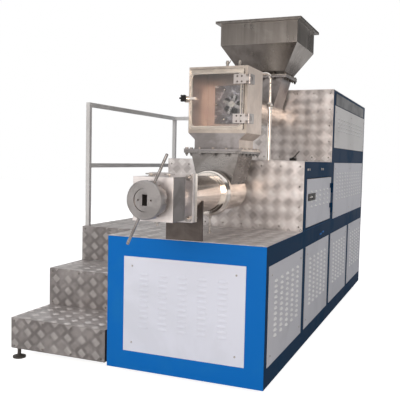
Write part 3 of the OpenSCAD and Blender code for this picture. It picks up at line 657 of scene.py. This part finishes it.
def nearSpots(points, spots, reach):
    return np.hypot(*nearestGap(points, spots).T) < reach


def openHoles(points):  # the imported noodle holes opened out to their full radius
    grown = noodleHoles["opened"] / noodleHoles["drilled"] - 1
    near = nearSpots(points, holeCentres, noodleHoles["drilled"] + noodleHoles["margin"])
    points = points.copy()
    points[:, [0, 2]] += nearestGap(points, holeCentres) * grown * near[:, None]
    return points


# The walls of the opened holes take the near-black finish: painted shade
def holeWalls(middle, normal):
    return (nearSpots(middle, holeCentres, noodleHoles["opened"] + noodleHoles["margin"])
            & (np.abs(normal[:, 1]) < facingShare["upright"]))


def boltHeads(middle, normal):
    return (nearSpots(middle, plateBolts, cutterPlate["headRadius"])
            & (middle[:, 1] < plateFront - cutterPlate["headMargin"]))


def boltSockets(middle, normal):
    return (nearSpots(middle, plateBolts, cutterPlate["socketRadius"])
            & (middle[:, 1] > plateFront - cutterPlate["socketDepth"])
            & (middle[:, 1] < plateFront))


def hubFace(middle, normal):
    return nearSpots(middle, plateCentre[None], cutterPlate["hubRadius"])


clampKnob = {"width": 40.0, "depth": 20.5}
clampLow = limits("door_clamp")[0]


def clampBar(middle, normal):
    return ((middle[:, 0] > clampLow[0] + clampKnob["width"])
            | (middle[:, 1] > clampLow[1] + clampKnob["depth"]))


latchHousing = {"longer": 1.2, "lower": 0.72}
latchLow, latchHigh = limits("service_door_latch")
latchSplit = (latchLow[1] + latchHigh[1]) / 2


def latchHinges(middle, normal):
    return middle[:, 1] > latchSplit


def longLatch(points):  # housing drawn longer and lower than its packed block
    points = points.copy()
    housing = points[:, 1] < latchSplit
    centre = points[housing][:, 2].mean()
    points[housing, 1] = latchLow[1] + (points[housing, 1] - latchLow[1]) * latchHousing["longer"]
    points[housing, 2] = centre + (points[housing, 2] - centre) * latchHousing["lower"]
    return points


hopperBoxFrom = limits("hopper")[1][2] - 215.0


# The box takes a lighter copy of the hopper steel than the taper: painted light
def hopperBoxLit(middle, normal):  # the straight box above the taper
    return middle[:, 2] > hopperBoxFrom


# The cabinets' sides, the mid cabinet's faces apart from its rear, and the service door's hinge
# halves take the darker blue: painted shade
regionsOf = {"base_cabinet": [("sideShadedBlue", sidewards)],
             "mid_cabinet": [("sideShadedBlue", notRear)],
             "top_cabinet": [("sideShadedBlue", sidewards)],
             "right_panels": [("panelUpperLit", upperBay)],
             "left_panels": [("panelUpperLit", upperBay)],
             "head_block": [("blockSideShade", sidewards)],
             "cutter_plate": [("holeShade", holeWalls), ("holeShade", boltHeads),
                              ("polishedSteel", boltSockets)],
             "cutter": [("boltSteel", hubFace)],
             "door_clamp": [("polishedSteel", clampBar)],
             "service_door_latch": [("sideShadedBlue", latchHinges)],
             "hopper": [("hopperBoxLit", hopperBoxLit)],
             "stair_steps": [("treadRiserShaded", risers)],
             "stair_sides": [("treadRiserShaded", risers)],
             "platform": [("treadRiserShaded", risers)],
             "vacuum_chamber": [("insideShadedSteel", insideChamber), ("frameFrontShaded", frameFace),
                                ("neckSteel", neckFront)]}
cutsOf = {"vacuum_chamber": [neckTop]}
reshapeOf = {"cutter_plate": openHoles, "service_door_latch": longLatch}
for node, (finish, slotName, edge) in dressing.items():
    dressNode(node, finish, edge, regionsOf.get(node, ()), cutsOf.get(node, ()),
              reshapeOf.get(node))
print("solids dressed:", len(dressing))


treadCell = {"long": 92.0, "short": 75.0, "bars": 5, "barPitch": 8.7, "barLength": 39.0,
             "barWidth": 4.8, "taper": 3.5, "height": 1.5, "sunk": 0.3, "edge": 1.5,
             "shortest": 9.0}


def treadBars(corner, across, up, width, height, longAcross=True, shift=(0.3, 0.4)):
    # Raised bars in cells of five on a sheet. Cells of one lean stand on a grid of
    # long x short, those of the other lean half a pitch off it both ways; a bar's spine is
    # centre + t * direction for t cut at the sheet's edges, and its foot is a long hexagon.
    cell = treadCell
    pitch = (cell["long"], cell["short"]) if longAcross else (cell["short"], cell["long"])
    counts = [int(size / step) + 3 for size, step in zip((width, height), pitch)]
    i, j = np.meshgrid(np.arange(-1, counts[0]), np.arange(-1, counts[1]), indexing="ij")
    grid = np.stack([i.ravel(), j.ravel()], 1) + np.asarray(shift)
    order = (np.arange(cell["bars"]) - (cell["bars"] - 1) / 2) * cell["barPitch"]
    centres, directions = [], []
    for middle, lean in ((grid * pitch, 1.0), ((grid + 0.5) * pitch, -1.0)):
        direction = np.array([1.0, lean]) / math.sqrt(2)
        sideways = np.array([-direction[1], direction[0]])
        centres.append((middle[:, None] + order[None, :, None] * sideways).reshape(-1, 2))
        directions.append(np.tile(direction, (len(middle) * cell["bars"], 1)))
    centre, direction = np.concatenate(centres), np.concatenate(directions)
    low = np.full(2, cell["edge"])
    high = np.array([width, height]) - cell["edge"]
    ends = np.stack([(low - centre) / direction, (high - centre) / direction])
    first = np.maximum(ends.min(0).max(1), -cell["barLength"] / 2)
    last = np.minimum(ends.max(0).min(1), cell["barLength"] / 2)
    keep = last - first > cell["shortest"]
    centre, direction, first, last = centre[keep], direction[keep], first[keep], last[keep]
    sideways = np.stack([-direction[:, 1], direction[:, 0]], 1)
    taper, half = cell["taper"], cell["barWidth"] / 2
    along = np.stack([first, first + taper, last - taper, last, last - taper, first + taper,
                      first + taper, last - taper], 1)
    aside = np.array([0, -half, -half, 0, half, half, 0, 0])
    lift = np.array([-cell["sunk"]] * 6 + [cell["height"]] * 2)
    flat = (centre[:, None] + along[..., None] * direction[:, None]
            + aside[None, :, None] * sideways[:, None])
    across, up = np.asarray(across, float), np.asarray(up, float)
    points = (np.asarray(corner, float) + flat[..., :1] * across + flat[..., 1:] * up
              + lift[None, :, None] * np.cross(across, up)).reshape(-1, 3)
    steps = np.arange(len(centre)) * 8
    quads = np.array([[1, 2, 7, 6], [4, 5, 6, 7]])
    tips = np.array([[0, 1, 6], [5, 0, 6], [2, 3, 7], [3, 4, 7]])
    base = np.array([[5, 4, 3, 2, 1, 0]])
    leans = (steps[direction[:, 1] > 0], steps[direction[:, 1] < 0])
    return points, [((block[None] + chosen[:, None, None]).reshape(-1, block.shape[1]), pick)
                    for pick, chosen in enumerate(leans) for block in (quads, tips, base)]


def plateOf(node, face):
    # Corner, axes and size of a solid's front (-Y) or top (+Z) face.
    low, high = limits(node)
    size = high - low
    if face == "front":
        return low, (1, 0, 0), (0, 0, 1), size[0], size[2]
    return (low[0], low[1], high[2]), (1, 0, 0), (0, 1, 0), size[0], size[1]


# Bars of one lean take the lit copy and those of the other the shaded copy; on the decks the
# second lean takes the sheet's tone
barFinish = ["treadBarLit", "treadBarShaded"]  # the two leans of bars
deckFinish = ["deckBar", "tread"]
riserFinish = ["riserBar", "riserBarLow"]
for label, node, face, longAcross, shift in (
        ("tread_base_deck", "base_deck", "top", True, (0.35, 0.2)),
        ("tread_mid_deck", "mid_deck", "top", True, (0.2, 0.5)),
        ("tread_mid_front", "mid_front_plate", "front", False, (0.30, 0.42)),
        ("tread_top_front", "top_front_plate", "front", True, (0.25, 0.35)),
        ("tread_top_cover", "top_cover", "top", True, (0.4, 0.3))):
    points, faces = treadBars(*plateOf(node, face), longAcross=longAcross, shift=shift)
    addPiece(label, points, faces, deckFinish if face == "top" else barFinish, "machine",
             "tread_plate", smooth=80)

stepLow, stepHigh = limits("stair_steps")
platLow, platHigh = limits("platform")
stairWidth = stepHigh[0] - stepLow[0]
going = platLow[1] / 2
firstTop = stepHigh[2] - (platHigh[2] - stepHigh[2])
# corner, up direction, length and pattern shift of each sheet, risers and treads in turn
stairSheets = [
    ((stepLow[0], 0, stepLow[2]), (0, 0, 1), firstTop - stepLow[2], (0.30, 0.42)),
    ((stepLow[0], 0, firstTop), (0, 1, 0), going, (0.1, 0.3)),
    ((stepLow[0], going, firstTop), (0, 0, 1), stepHigh[2] - firstTop, (0.55, 0.30)),
    ((stepLow[0], going, stepHigh[2]), (0, 1, 0), going, (0.4, 0.25)),
    ((platLow[0], platLow[1], stepHigh[2]), (0, 0, 1), platHigh[2] - stepHigh[2], (0.1, 0.35)),
    ((platLow[0], platLow[1], platHigh[2]), (0, 1, 0), platHigh[1] - platLow[1], (0.3, 0.2)),
]
for label, sheets, finish in (("tread_stair", stairSheets[1::2], deckFinish),
                              ("tread_risers", stairSheets[::2], riserFinish)):
    points, faces = joinShapes([
        treadBars(corner, (1, 0, 0), up, stairWidth, length, shift=shift)
        for corner, up, length, shift in sheets])
    addPiece(label, points, faces, finish, "machine", "tread_plate", smooth=80)
sideLow, sideHigh = limits("stair_sides")
points, faces = joinShapes([
    treadBars((sideLow[0], y1, sideLow[2]), (0, -1, 0), (0, 0, 1), y1 - y0, z1 - sideLow[2])
    for y0, y1, z1 in ((sideLow[1], going, firstTop), (going, sideHigh[1], stepHigh[2]))])
addPiece("tread_stair_side", points, faces, riserFinish, "machine", "tread_plate", smooth=80)
print("tread bars pressed")


louvre = {"width": 56.0, "drop": 14.0, "lift": 5.5, "columns": 9, "rows": 4, "sunk": 0.2}


def louvreShape(width, drop, lift, columns, rows, sunk):
    # Pressed hood whose lower edge is closed by a mouth face in the second finish, dark painted
    # shade in
    # place of the opening. With s from -1 to 1 across, t from 0 to 1 down and q = sqrt(1 - s^2):
    # x = s width/2, y = drop (1 - t) q, z = lift sin(t pi/2) q - sunk.
    s = np.sin(np.linspace(-1, 1, columns + 2)[1:-1] * np.pi / 2)
    t = np.linspace(0, 1, rows)
    arch = np.sqrt(1 - s ** 2)
    x = np.broadcast_to(s * width / 2, (rows, columns))
    y = drop * (1 - t)[:, None] * arch
    z = lift * np.sin(t * np.pi / 2)[:, None] * arch - sunk
    hoodPoints = np.stack([x, y, z], 2).reshape(-1, 3)
    points = np.concatenate([hoodPoints, [[-width / 2, 0, -sunk], [width / 2, 0, -sunk]]])
    left, right = len(hoodPoints), len(hoodPoints) + 1
    c, r = np.meshgrid(np.arange(columns - 1), np.arange(rows - 1))
    base = (r * columns + c).ravel()
    quads = np.stack([base, base + columns, base + columns + 1, base + 1], 1)
    edge = np.arange(rows - 1) * columns
    caps = np.concatenate([
        np.stack([np.full(rows - 1, left), edge + columns, edge], 1),
        np.stack([np.full(rows - 1, right), edge + columns - 1, edge + 2 * columns - 1], 1)])
    lip = (rows - 1) * columns + np.arange(columns)
    mouth = np.concatenate([[left], [right], lip[::-1]])[None]
    back = np.concatenate([[left], np.arange(columns), [right]])[None]
    return points, [(quads, 0), (caps, 0), (mouth, 1), (back, 0)]


hood = louvreShape(**louvre)
sideHood = louvreShape(**{**louvre, "lift": 8.0})
smallHood = louvreShape(**{**louvre, "width": 44.0, "drop": 13.0, "lift": 7.5})
frontLow, frontHigh = limits("front_panel")
rearLow, rearHigh = limits("rear_panels")
doorLow, doorHigh = limits("service_door")

# A panel's reach along and up its face, its screws' inset from the corners and how many
# stand between those, and its grid of louvres.
louvreRaise = 20.0  # from a low panel's middle to that of its louvres
basePanel = {"up": (frontLow[2], frontHigh[2]), "inset": 50.0, "between": 0,
             "hood": sideHood, "columns": 5, "rows": 11, "pitchAlong": 117.0, "pitchUp": 28.8,
             "centreUp": (frontLow[2] + frontHigh[2]) / 2 + louvreRaise}
frontPanel = {**basePanel, "along": (frontLow[0], frontHigh[0]), "hood": hood,
              "pitchAlong": 112.0}
rearPanel = {**frontPanel, "along": (rearLow[0], rearHigh[0]), "up": (149.0, 666.0)}
rearPanels = [
    rearPanel,
    {**rearPanel, "up": (840.0, 1143.0), "inset": 44.0, "hood": smallHood, "rows": 6,
     "centreUp": 995.0},
    {**rearPanel, "up": (1301.0, 1609.0), "inset": 44.0, "hood": smallHood, "rows": 4,
     "centreUp": 1475.0}]
midPanel = {"along": (1725.0, 3190.0), "up": (773.0, 1189.0), "inset": 44.0, "between": 1,
            "hood": smallHood, "columns": 11, "rows": 8, "pitchAlong": 121.6, "pitchUp": 27.5,
            "centreUp": 1006.0}
topPanel = {"along": (1695.0, 3200.0), "up": (1301.0, 1609.0), "inset": 44.0, "between": 1,
            "hood": smallHood, "columns": 11, "rows": 4, "pitchAlong": 121.6, "pitchUp": 30.0,
            "centreUp": 1475.0}
doorPanel = {"along": (doorLow[1], doorHigh[1]), "up": (doorLow[2], doorHigh[2]),
             "inset": 30.0, "between": 0, "hood": smallHood, "columns": 5, "rows": 4,
             "pitchAlong": 129.0, "pitchUp": 31.0, "centreUp": 953.0}

bays = {"count": 4, "start": 45.0, "gap": 83.0, "tail": 40.0}  # of the low panels on a side
bayLength = ((cabinetHigh.y - cabinetLow.y) * 1000 - bays["start"] - bays["tail"]
             - (bays["count"] - 1) * bays["gap"]) / bays["count"]
bayStarts = [bays["start"] + k * (bayLength + bays["gap"]) for k in range(bays["count"])]
sidePanels = [{**basePanel, "along": (start, start + bayLength)} for start in bayStarts]
sidePanels += [midPanel, topPanel]


def louvreField(panels, face, plane):
    # Grid of hoods on each of the panels.
    fields = []
    for panel in panels:
        columns, rows = panel["columns"], panel["rows"]
        i, j = np.meshgrid(np.arange(columns) - (columns - 1) / 2,
                           np.arange(rows) - (rows - 1) / 2, indexing="ij")
        along = sum(panel["along"]) / 2 + i.ravel() * panel["pitchAlong"]
        up = panel["centreUp"] + j.ravel() * panel["pitchUp"]
        fields.append(setOnFace(panel["hood"], face, plane, np.stack([along, up], 1)))
    return joinShapes(fields)


# Front and rear hoods keep the panel paint; their mouths take painted shade
louvreFinish = ["panelPaint", "slotShade"]
# Side hoods take the lighter paint as painted highlight, and painted shade in their mouths
sideHoodFinish = ["hoodPaint", "slotShade"]
panelFaces = {"front": ([frontPanel], "-y", frontLow[1], louvreFinish),
              "right": (sidePanels, "+x", limits("right_panels")[1][0], sideHoodFinish),
              "left": (sidePanels + [doorPanel], "-x", limits("left_panels")[0][0],
                       sideHoodFinish),
              "rear": (rearPanels, "+y", rearHigh[1], louvreFinish)}
for label, (panels, face, plane, finish) in panelFaces.items():
    addPiece("louvres_" + label, *louvreField(panels, face, plane), finish, "machine",
             "white_panel", smooth=50)
addPiece("louvres_door", *louvreField([doorPanel], "+x", doorHigh[0]), sideHoodFinish,
         bodyOf("service_door"), "white_panel", smooth=50)
print("louvres pressed")


screwDome = np.array([(0, 0), (1, 0), (1, 0.35), (0.82, 0.85), (0.5, 1), (0.42, 1),
                      (0.40, 0.45), (0, 0.45)])
screwSides = 14
panelScrew = {"radius": 5.5, "height": 2.6}


def screwHead(radius, height):
    # Button head: low dome with a socket sunk in its crown. The dome's rows are shares of
    # the head's radius and height.
    return turnedShape(screwDome * (radius, height), screwSides)


def cornerScrews(panels, face, plane):
    # Screws near the corners of each panel, with more between them along its length.
    spots = []
    for panel in panels:
        inset = panel["inset"]
        spots += [(along, height)
                  for along in np.linspace(panel["along"][0] + inset, panel["along"][1] - inset,
                                           panel["between"] + 2)
                  for height in (panel["up"][0] + inset, panel["up"][1] - inset)]
    return setOnFace(screwHead(**panelScrew), face, plane, spots)


addPiece("panel_screws", *joinShapes([cornerScrews(panels, face, plane)
                                      for panels, face, plane, finish in panelFaces.values()]),
         "boltSteel", "machine", "brushed_steel", smooth=40)

plateScrews = {"radius": 5.0, "height": 2.2, "inset": 25.0, "across": 8,
               "midRows": (798.0, 919.0, 1041.0, 1162.0),
               "topRows": (1226.0, 1342.0, 1458.0, 1575.0, 1691.0),
               "stairAcross": 4, "firstInset": 18.0, "riserInset": 20.0}
midLow, midHigh = limits("mid_cabinet")
edgeAcross = np.linspace(midLow[0] + plateScrews["inset"], -midLow[0] - plateScrews["inset"],
                         plateScrews["across"])
stairAcross = np.linspace(stepLow[0] + plateScrews["inset"], stepHigh[0] - plateScrews["inset"],
                          plateScrews["stairAcross"])


def edgeSpots(rows):
    # Full rows of screws at a plate's foot and top, and one at each end of those between.
    spots = [(x, z) for x in edgeAcross for z in (rows[0], rows[-1])]
    return spots + [(x, z) for x in (edgeAcross[0], edgeAcross[-1]) for z in rows[1:-1]]


plateSets = [(limits("mid_front_plate")[0][1], edgeSpots(plateScrews["midRows"])),
             (limits("top_front_plate")[0][1], edgeSpots(plateScrews["topRows"]))]
for plane, low, high, inset in ((0.0, stepLow[2], firstTop, "firstInset"),
                                (going, firstTop, stepHigh[2], "riserInset"),
                                (platLow[1], stepHigh[2], platHigh[2], "riserInset")):
    heights = (low + plateScrews[inset], high - plateScrews[inset])
    plateSets.append((plane, [(x, z) for x in stairAcross for z in heights]))
plateScrew = screwHead(plateScrews["radius"], plateScrews["height"])
addPiece("plate_screws", *joinShapes([setOnFace(plateScrew, "-y", plane, spots)
                                      for plane, spots in plateSets]),
         "darkBolt", "machine", "dark_steel", smooth=40)

# bolts of the two flange pairs: how many stand across and between those along the sides,
# and the lengths of head, nut and stud end
joints = {
    "throat_bolts": {"node": "throat", "finish": "nutSteel", "slot": "brushed_steel",
                     "inset": 13.0, "across": 5, "between": 4, "head": 7.0, "nut": 9.0,
                     "tail": 18.0},
    "hopper_bolts": {"node": "upper_throat", "finish": "darkBolt", "slot": "dark_steel",
                     "inset": 12.0, "across": 5, "between": 3, "head": 8.0, "nut": 9.0,
                     "tail": 16.0}}
bolt = {"flats": 17.0, "flange": 12.0, "washer": 1.2, "washerSpread": 1.15, "turn": 0.3,
        "washerSides": 16, "crownFrom": 0.85, "crownShare": 0.86, "stud": 0.27,
        "studTip": 0.2, "tipLength": 1.0, "studSides": 10}


def hexHead(height):
    # Hexagon head with a chamfered crown, on a round washer; its radius = flats / sqrt(3).
    radius, foot = bolt["flats"] / math.sqrt(3), bolt["washer"]
    washer = rodShape(radius * bolt["washerSpread"], foot, bolt["washerSides"])
    head = turnedShape([(0, foot), (radius, foot), (radius, foot + height * bolt["crownFrom"]),
                        (radius * bolt["crownShare"], foot + height), (0, foot + height)],
                       6, bolt["turn"])
    return joinShapes([washer, head])


def studEnd(tail):
    # Round end of a stud under its nut, with a tapered tip.
    radius, tip = bolt["flats"] * bolt["stud"], bolt["flats"] * bolt["studTip"]
    return turnedShape([(0, 0), (radius, 0), (radius, tail - bolt["tipLength"]), (tip, tail),
                        (0, tail)], bolt["studSides"])


for label, joint in joints.items():
    # heads over the flange pair, nuts and stud ends under it; rows of bolts front and rear,
    # and the rest along the sides
    low, high = limits(joint["node"])
    x = np.array([low[0] + joint["inset"], high[0] - joint["inset"]])
    y = np.array([low[1] + joint["inset"], high[1] - joint["inset"]])
    centres = [(a, b) for a in np.linspace(*x, joint["across"]) for b in y]
    centres += [(a, b) for a in x for b in np.linspace(*y, joint["between"] + 2)[1:-1]]
    over = [(a, b, high[2] + bolt["flange"]) for a, b in centres]
    under = [(a, b, high[2] - bolt["flange"]) for a, b in centres]
    down = np.diag([1.0, -1.0, -1.0])
    addPiece(label, *joinShapes([repeatShape(*hexHead(joint["head"]), over),
                                 repeatShape(*hexHead(joint["nut"]), under, down),
                                 repeatShape(*studEnd(joint["tail"]), under, down)]),
             joint["finish"], "machine", joint["slot"], smooth=30)
print("screws and bolts set")


windowTrim = {"half": 158.0, "foot": 34.0, "top": 340.0, "corner": 24.0, "width": 8.0,
              "thick": 3.6, "cornerSteps": 8, "gap": 1.2, "sideShare": 0.35,
              "roundShare": 0.2}


def gasketRing(centre, low, high, front, trim):
    # Flat strip along a rounded square: corner points centre + (cos a, sin a) r at the four
    # corners, offset by half the width either way, at its front and back planes.
    angle = np.linspace(0, np.pi / 2, trim["cornerSteps"])
    corner = trim["corner"]
    reach, low, high = trim["half"] - corner, low + corner, high - corner
    hubs = [(reach, high, 0), (-reach, high, 1), (-reach, low, 2), (reach, low, 3)]
    outer, inner = (np.concatenate([np.stack([
        centre + x + (corner + offset) * np.cos(angle + quarter * np.pi / 2),
        z + (corner + offset) * np.sin(angle + quarter * np.pi / 2)], 1)
        for x, z, quarter in hubs]) for offset in (trim["width"] / 2, -trim["width"] / 2))
    back, side = front + trim["thick"], front + trim["thick"] * trim["sideShare"]
    share = trim["roundShare"]
    rings = [np.stack([loop[:, 0], np.full(len(loop), y), loop[:, 1]], 1) for loop, y in (
        (outer, back), (outer, side), (outer * (1 - share) + inner * share, front),
        (outer * share + inner * (1 - share), front), (inner, side), (inner, back))]
    count = len(outer)
    step = np.arange(count)
    after = (step + 1) % count
    starts = np.arange(len(rings)) * count
    faces = np.concatenate([
        np.stack([a + step, a + after, b + after, b + step], 1)
        for a, b in zip(starts, np.roll(starts, -1))])
    return np.concatenate(rings), [(faces, 0)]


addPiece("window_gasket", *gasketRing(
    chamberMiddle[0], chamberFoot + windowTrim["foot"], chamberFoot + windowTrim["top"],
    limits("chamber_door")[1][1] + windowTrim["gap"], windowTrim),
    "gasket", "machine", "white_panel", smooth=50)

# Near-black discs at the bottoms of the blind noodle holes: painted shade
holeShadeDisc = {"gap": 0.2, "thick": 3.0, "sunk": 1.0, "sides": 24}
shadeDiscShape = rodShape(noodleHoles["opened"] - holeShadeDisc["gap"], holeShadeDisc["thick"],
                     holeShadeDisc["sides"])
addPiece("noodle_hole_shade", *setOnFace(shadeDiscShape, "-y", plateHigh[1] + holeShadeDisc["sunk"],
                                    holeCentres),
         "holeShade", "machine", "brushed_steel", smooth=40)

leafBolts = {"radius": 5.2, "height": 3.0, "x": (129.0, 155.0), "rise": (12.0, 42.0),
             "leafHeight": 54.0}
leafLow, leafHigh = limits("door_leaves")
leafSpots = [(x, z + rise) for z in (leafLow[2], leafHigh[2] - leafBolts["leafHeight"])
             for rise in leafBolts["rise"] for x in leafBolts["x"]]
addPiece("hinge_bolts", *setOnFace(screwHead(leafBolts["radius"], leafBolts["height"]), "-y",
                                   leafLow[1], leafSpots),
         "darkBolt", bodyOf("door_leaves"), "brushed_steel", smooth=40)

ports = {"x": (2.0, 79.0), "y": 600.0, "sides": 20,
         "profile": [(0, 0), (17, 0), (17, 5), (9, 7), (8, 34), (11, 35), (11, 46), (8, 47),
                     (8, 54), (0, 54)],
         "lever": [(0, 0, 30), (14, 0, 44), (19, 0, 56)], "leverRadius": 3.2}
portShape = turnedShape(ports["profile"], ports["sides"])
valveShape = joinShapes([portShape, sweptTube(ports["lever"], ports["leverRadius"])])
addPiece("chamber_ports", *joinShapes([
    repeatShape(*shape, [(x, ports["y"], chamberHigh[2])])
    for shape, x in zip((valveShape, portShape), ports["x"])]),
    "boltSteel", "machine", "brushed_steel", smooth=40)
print("chamber fitted out")


latchBar = {"start": 24.0, "length": 88.0, "radius": 3.6, "sides": 14, "proud": 2.2,
            "heightShare": 0.62}
latchHeight = doorLow[2] + latchBar["heightShare"] * (doorHigh[2] - doorLow[2])
addPiece("latch_bar", *repeatShape(
    *rodShape(latchBar["radius"], latchBar["length"], latchBar["sides"]),
    [(latchLow[0] + latchBar["proud"], latchLow[1] + latchBar["start"], latchHeight)],
    facing((0, 1, 0))), "polishedSteel", bodyOf("service_door_latch"), "brushed_steel",
    smooth=40)

sideScrews = {"radius": 8.0, "height": 3.5, "z": 1146.0, "y": (769.0, 818.0, 1179.0, 1228.0)}
addPiece("side_screws", *setOnFace(screwHead(sideScrews["radius"], sideScrews["height"]), "+x",
                                   midHigh[0], [(y, sideScrews["z"]) for y in sideScrews["y"]]),
         "boltSteel", "machine", "brushed_steel", smooth=40)

# four-sided turned block with a bevelled rim, drawn long
sideTabs = {"profile": [(0, 0), (7.4, 0), (7.4, 3.0), (6.6, 4.0), (0, 4.0)], "longer": 4.6,
            "spots": [(1208.0, 714.0), (1288.0, 721.0)]}
points, faces = turnedShape(sideTabs["profile"], 4, math.pi / 4)
addPiece("side_tabs", *setOnFace((points * (sideTabs["longer"], 1, 1), faces), "+x", midHigh[0],
                                 sideTabs["spots"]),
         "bluePaint", "machine", "blue_paint")
print("side fittings set")


# seenFloor is the floor's glow straight on and in gloss; each band of cards is its foot,
# its top, the share of a step that a card takes up and its tone
studio = {"floorSize": 40.0, "floorTone": 0.60, "seenFloor": (0.88, 0.10), "worldFill": 0.25,
          "cardRadius": 11.0, "cards": 10, "cardTurn": 8.0,
          "cardBands": [(0.0, 3.0, 0.78, (0.85, 0.82, 0.80)),
                        (3.0, 9.0, 1.0, (0.14, 0.135, 0.13))]}
lamps = {
    "key_light": {"place": (-0.8, -8.2, 4.2), "size": (8.0, 4.5), "power": 355.0,
                  "gloss": False},
    "warm_light": {"place": (2.85, -6.6, 2.0), "size": (1.6, 1.6), "power": 75.0,
                   "tone": (1.0, 0.80, 0.64)},
    "glint_light": {"place": (-0.4, -6.4, 1.7), "size": (1.3, 2.6), "power": 26.0,
                    "tone": (1.0, 0.90, 0.82), "target": (0.5, -0.4, 1.2)},
    "side_light": {"place": (7.5, 1.0, 5.5), "size": (5.0, 3.0), "power": 115.0,
                   "target": (0.7, 0.2, 1.0), "gloss": False},
    "rear_light": {"place": (-6.0, 7.0, 5.0), "size": (3.0, 3.0), "power": 260.0,
                   "target": (0, 0.6, 0.9), "gloss": False}}


def seenWhite(tree, direct, mirrored):
    # Value for rays that show the backdrop itself, and for those that show it in gloss
    # or through clear plate; 0 for all others.
    path = addNode(tree, "ShaderNodeLightPath").outputs
    second = mathNode(tree, "MAXIMUM", path["Is Glossy Ray"], path["Is Transmission Ray"])
    return mathNode(tree, "MULTIPLY_ADD", path["Is Camera Ray"], direct,
                    mathNode(tree, "MULTIPLY", second, mirrored))


def stagePiece(name, points, faces, finish):
    mesh = bpy.data.meshes.new(name)
    mesh.from_pydata(points, [], faces)
    mesh.materials.append(finish)
    piece = bpy.data.objects.new(name, mesh)
    bpy.context.scene.collection.objects.link(piece)
    return piece


def emptyFinish(name):
    finish = bpy.data.materials.new(name)
    finish.use_nodes = True
    finish.node_tree.nodes.remove(finish.node_tree.nodes["Principled BSDF"])
    return finish, finish.node_tree, finish.node_tree.nodes["Material Output"].inputs["Surface"]


def buildFloor():
    finish, tree, surface = emptyFinish("floorWhite")
    tone = studio["floorTone"]
    matt = addNode(tree, "ShaderNodeBsdfDiffuse", {"Color": (tone, tone, tone, 1)})
    glow = addNode(tree, "ShaderNodeEmission",
                   {"Strength": seenWhite(tree, *studio["seenFloor"])})
    both = addNode(tree, "ShaderNodeAddShader", {0: matt.outputs[0], 1: glow.outputs[0]})
    tree.links.new(both.outputs[0], surface)
    size = studio["floorSize"] / 2
    stagePiece("studio_floor", [(-size, -size, 0), (size, -size, 0), (size, size, 0),
                                (-size, size, 0)], [(0, 1, 2, 3)], finish)


def buildWorld():
    world = bpy.data.worlds.new("studioWorld")
    bpy.context.scene.world = world
    world.use_nodes = True
    tree = world.node_tree
    base = tree.nodes["Background"].inputs
    base["Color"].default_value = (1.0, 1.0, 1.0, 1)
    strength = addNode(tree, "ShaderNodeMapRange",
                       {"Value": seenWhite(tree, 1.0, 1.0), "To Min": studio["worldFill"],
                        "To Max": 1.0})
    tree.links.new(strength.outputs["Result"], base["Strength"])


def buildCards(name, low, high, share, tone):
    # Ring of upright grey cards that only gloss shows: card k stands from angle
    # (k - share / 2) to (k + share / 2) steps round, at one radius.
    finish, tree, surface = emptyFinish(name)
    glow = addNode(tree, "ShaderNodeEmission", {"Color": (*tone, 1)})
    tree.links.new(glow.outputs[0], surface)
    step = 2 * np.pi / studio["cards"]
    turns = np.arange(studio["cards"]) * step + math.radians(studio["cardTurn"])
    edges = turns[:, None] + np.array([-0.5, 0.5]) * share * step
    foot = np.stack([np.cos(edges), np.sin(edges), np.zeros_like(edges)], 2)
    foot *= studio["cardRadius"]
    points = np.concatenate([foot + (0, 0, low), foot + (0, 0, high)], 1).reshape(-1, 3)
    faces = np.arange(studio["cards"])[:, None] * 4 + np.array([0, 1, 3, 2])
    cards = stagePiece(name, points.tolist(), faces.tolist(), finish)
    for ray in ("camera", "diffuse", "transmission", "volume_scatter", "shadow"):
        setattr(cards, "visible_" + ray, False)


def addLamp(name, place, size, power, tone=(1, 1, 1), target=(0.2, -0.6, 0.9), gloss=True):
    lamp = bpy.data.lights.new(name, "AREA")
    lamp.shape = "RECTANGLE"
    lamp.size, lamp.size_y = size
    lamp.energy = power
    lamp.color = tone
    holder = bpy.data.objects.new(name, lamp)
    holder.location = place
    holder.rotation_euler = (Vector(target) - Vector(place)).to_track_quat("-Z", "Y").to_euler()
    holder.visible_glossy = holder.visible_transmission = gloss
    bpy.context.scene.collection.objects.link(holder)


buildFloor()
buildWorld()
for number, band in enumerate(studio["cardBands"]):
    buildCards("studio_cards_%d" % number, *band)
for name, look in lamps.items():
    addLamp(name, **look)
print("studio lit")

view = {"place": (1.6118, -4.3514, 1.1934), "azimuth": 22.27, "tilt": -3.71, "roll": 1.21,
        "lens": 56.28}
yaw, tilt, roll = (math.radians(view[key]) for key in ("azimuth", "tilt", "roll"))
forward = Vector((-math.sin(yaw) * math.cos(tilt), math.cos(yaw) * math.cos(tilt),
                  math.sin(tilt)))
level = Vector((math.cos(yaw), math.sin(yaw), 0))
above = level.cross(forward)
right = level * math.cos(roll) + above * math.sin(roll)
top = above * math.cos(roll) - level * math.sin(roll)
lens = bpy.data.cameras.new("view_camera")
lens.lens = view["lens"]
lens.sensor_width = 36.0
camera = bpy.data.objects.new("view_camera", lens)
camera.matrix_world = Matrix.Translation(view["place"]) @ Matrix(
    ((right.x, top.x, -forward.x), (right.y, top.y, -forward.y),
     (right.z, top.z, -forward.z))).to_4x4()
bpy.context.scene.collection.objects.link(camera)
bpy.context.scene.camera = camera

bpy.context.scene.view_settings.view_transform = "Standard"

print("scene finished")
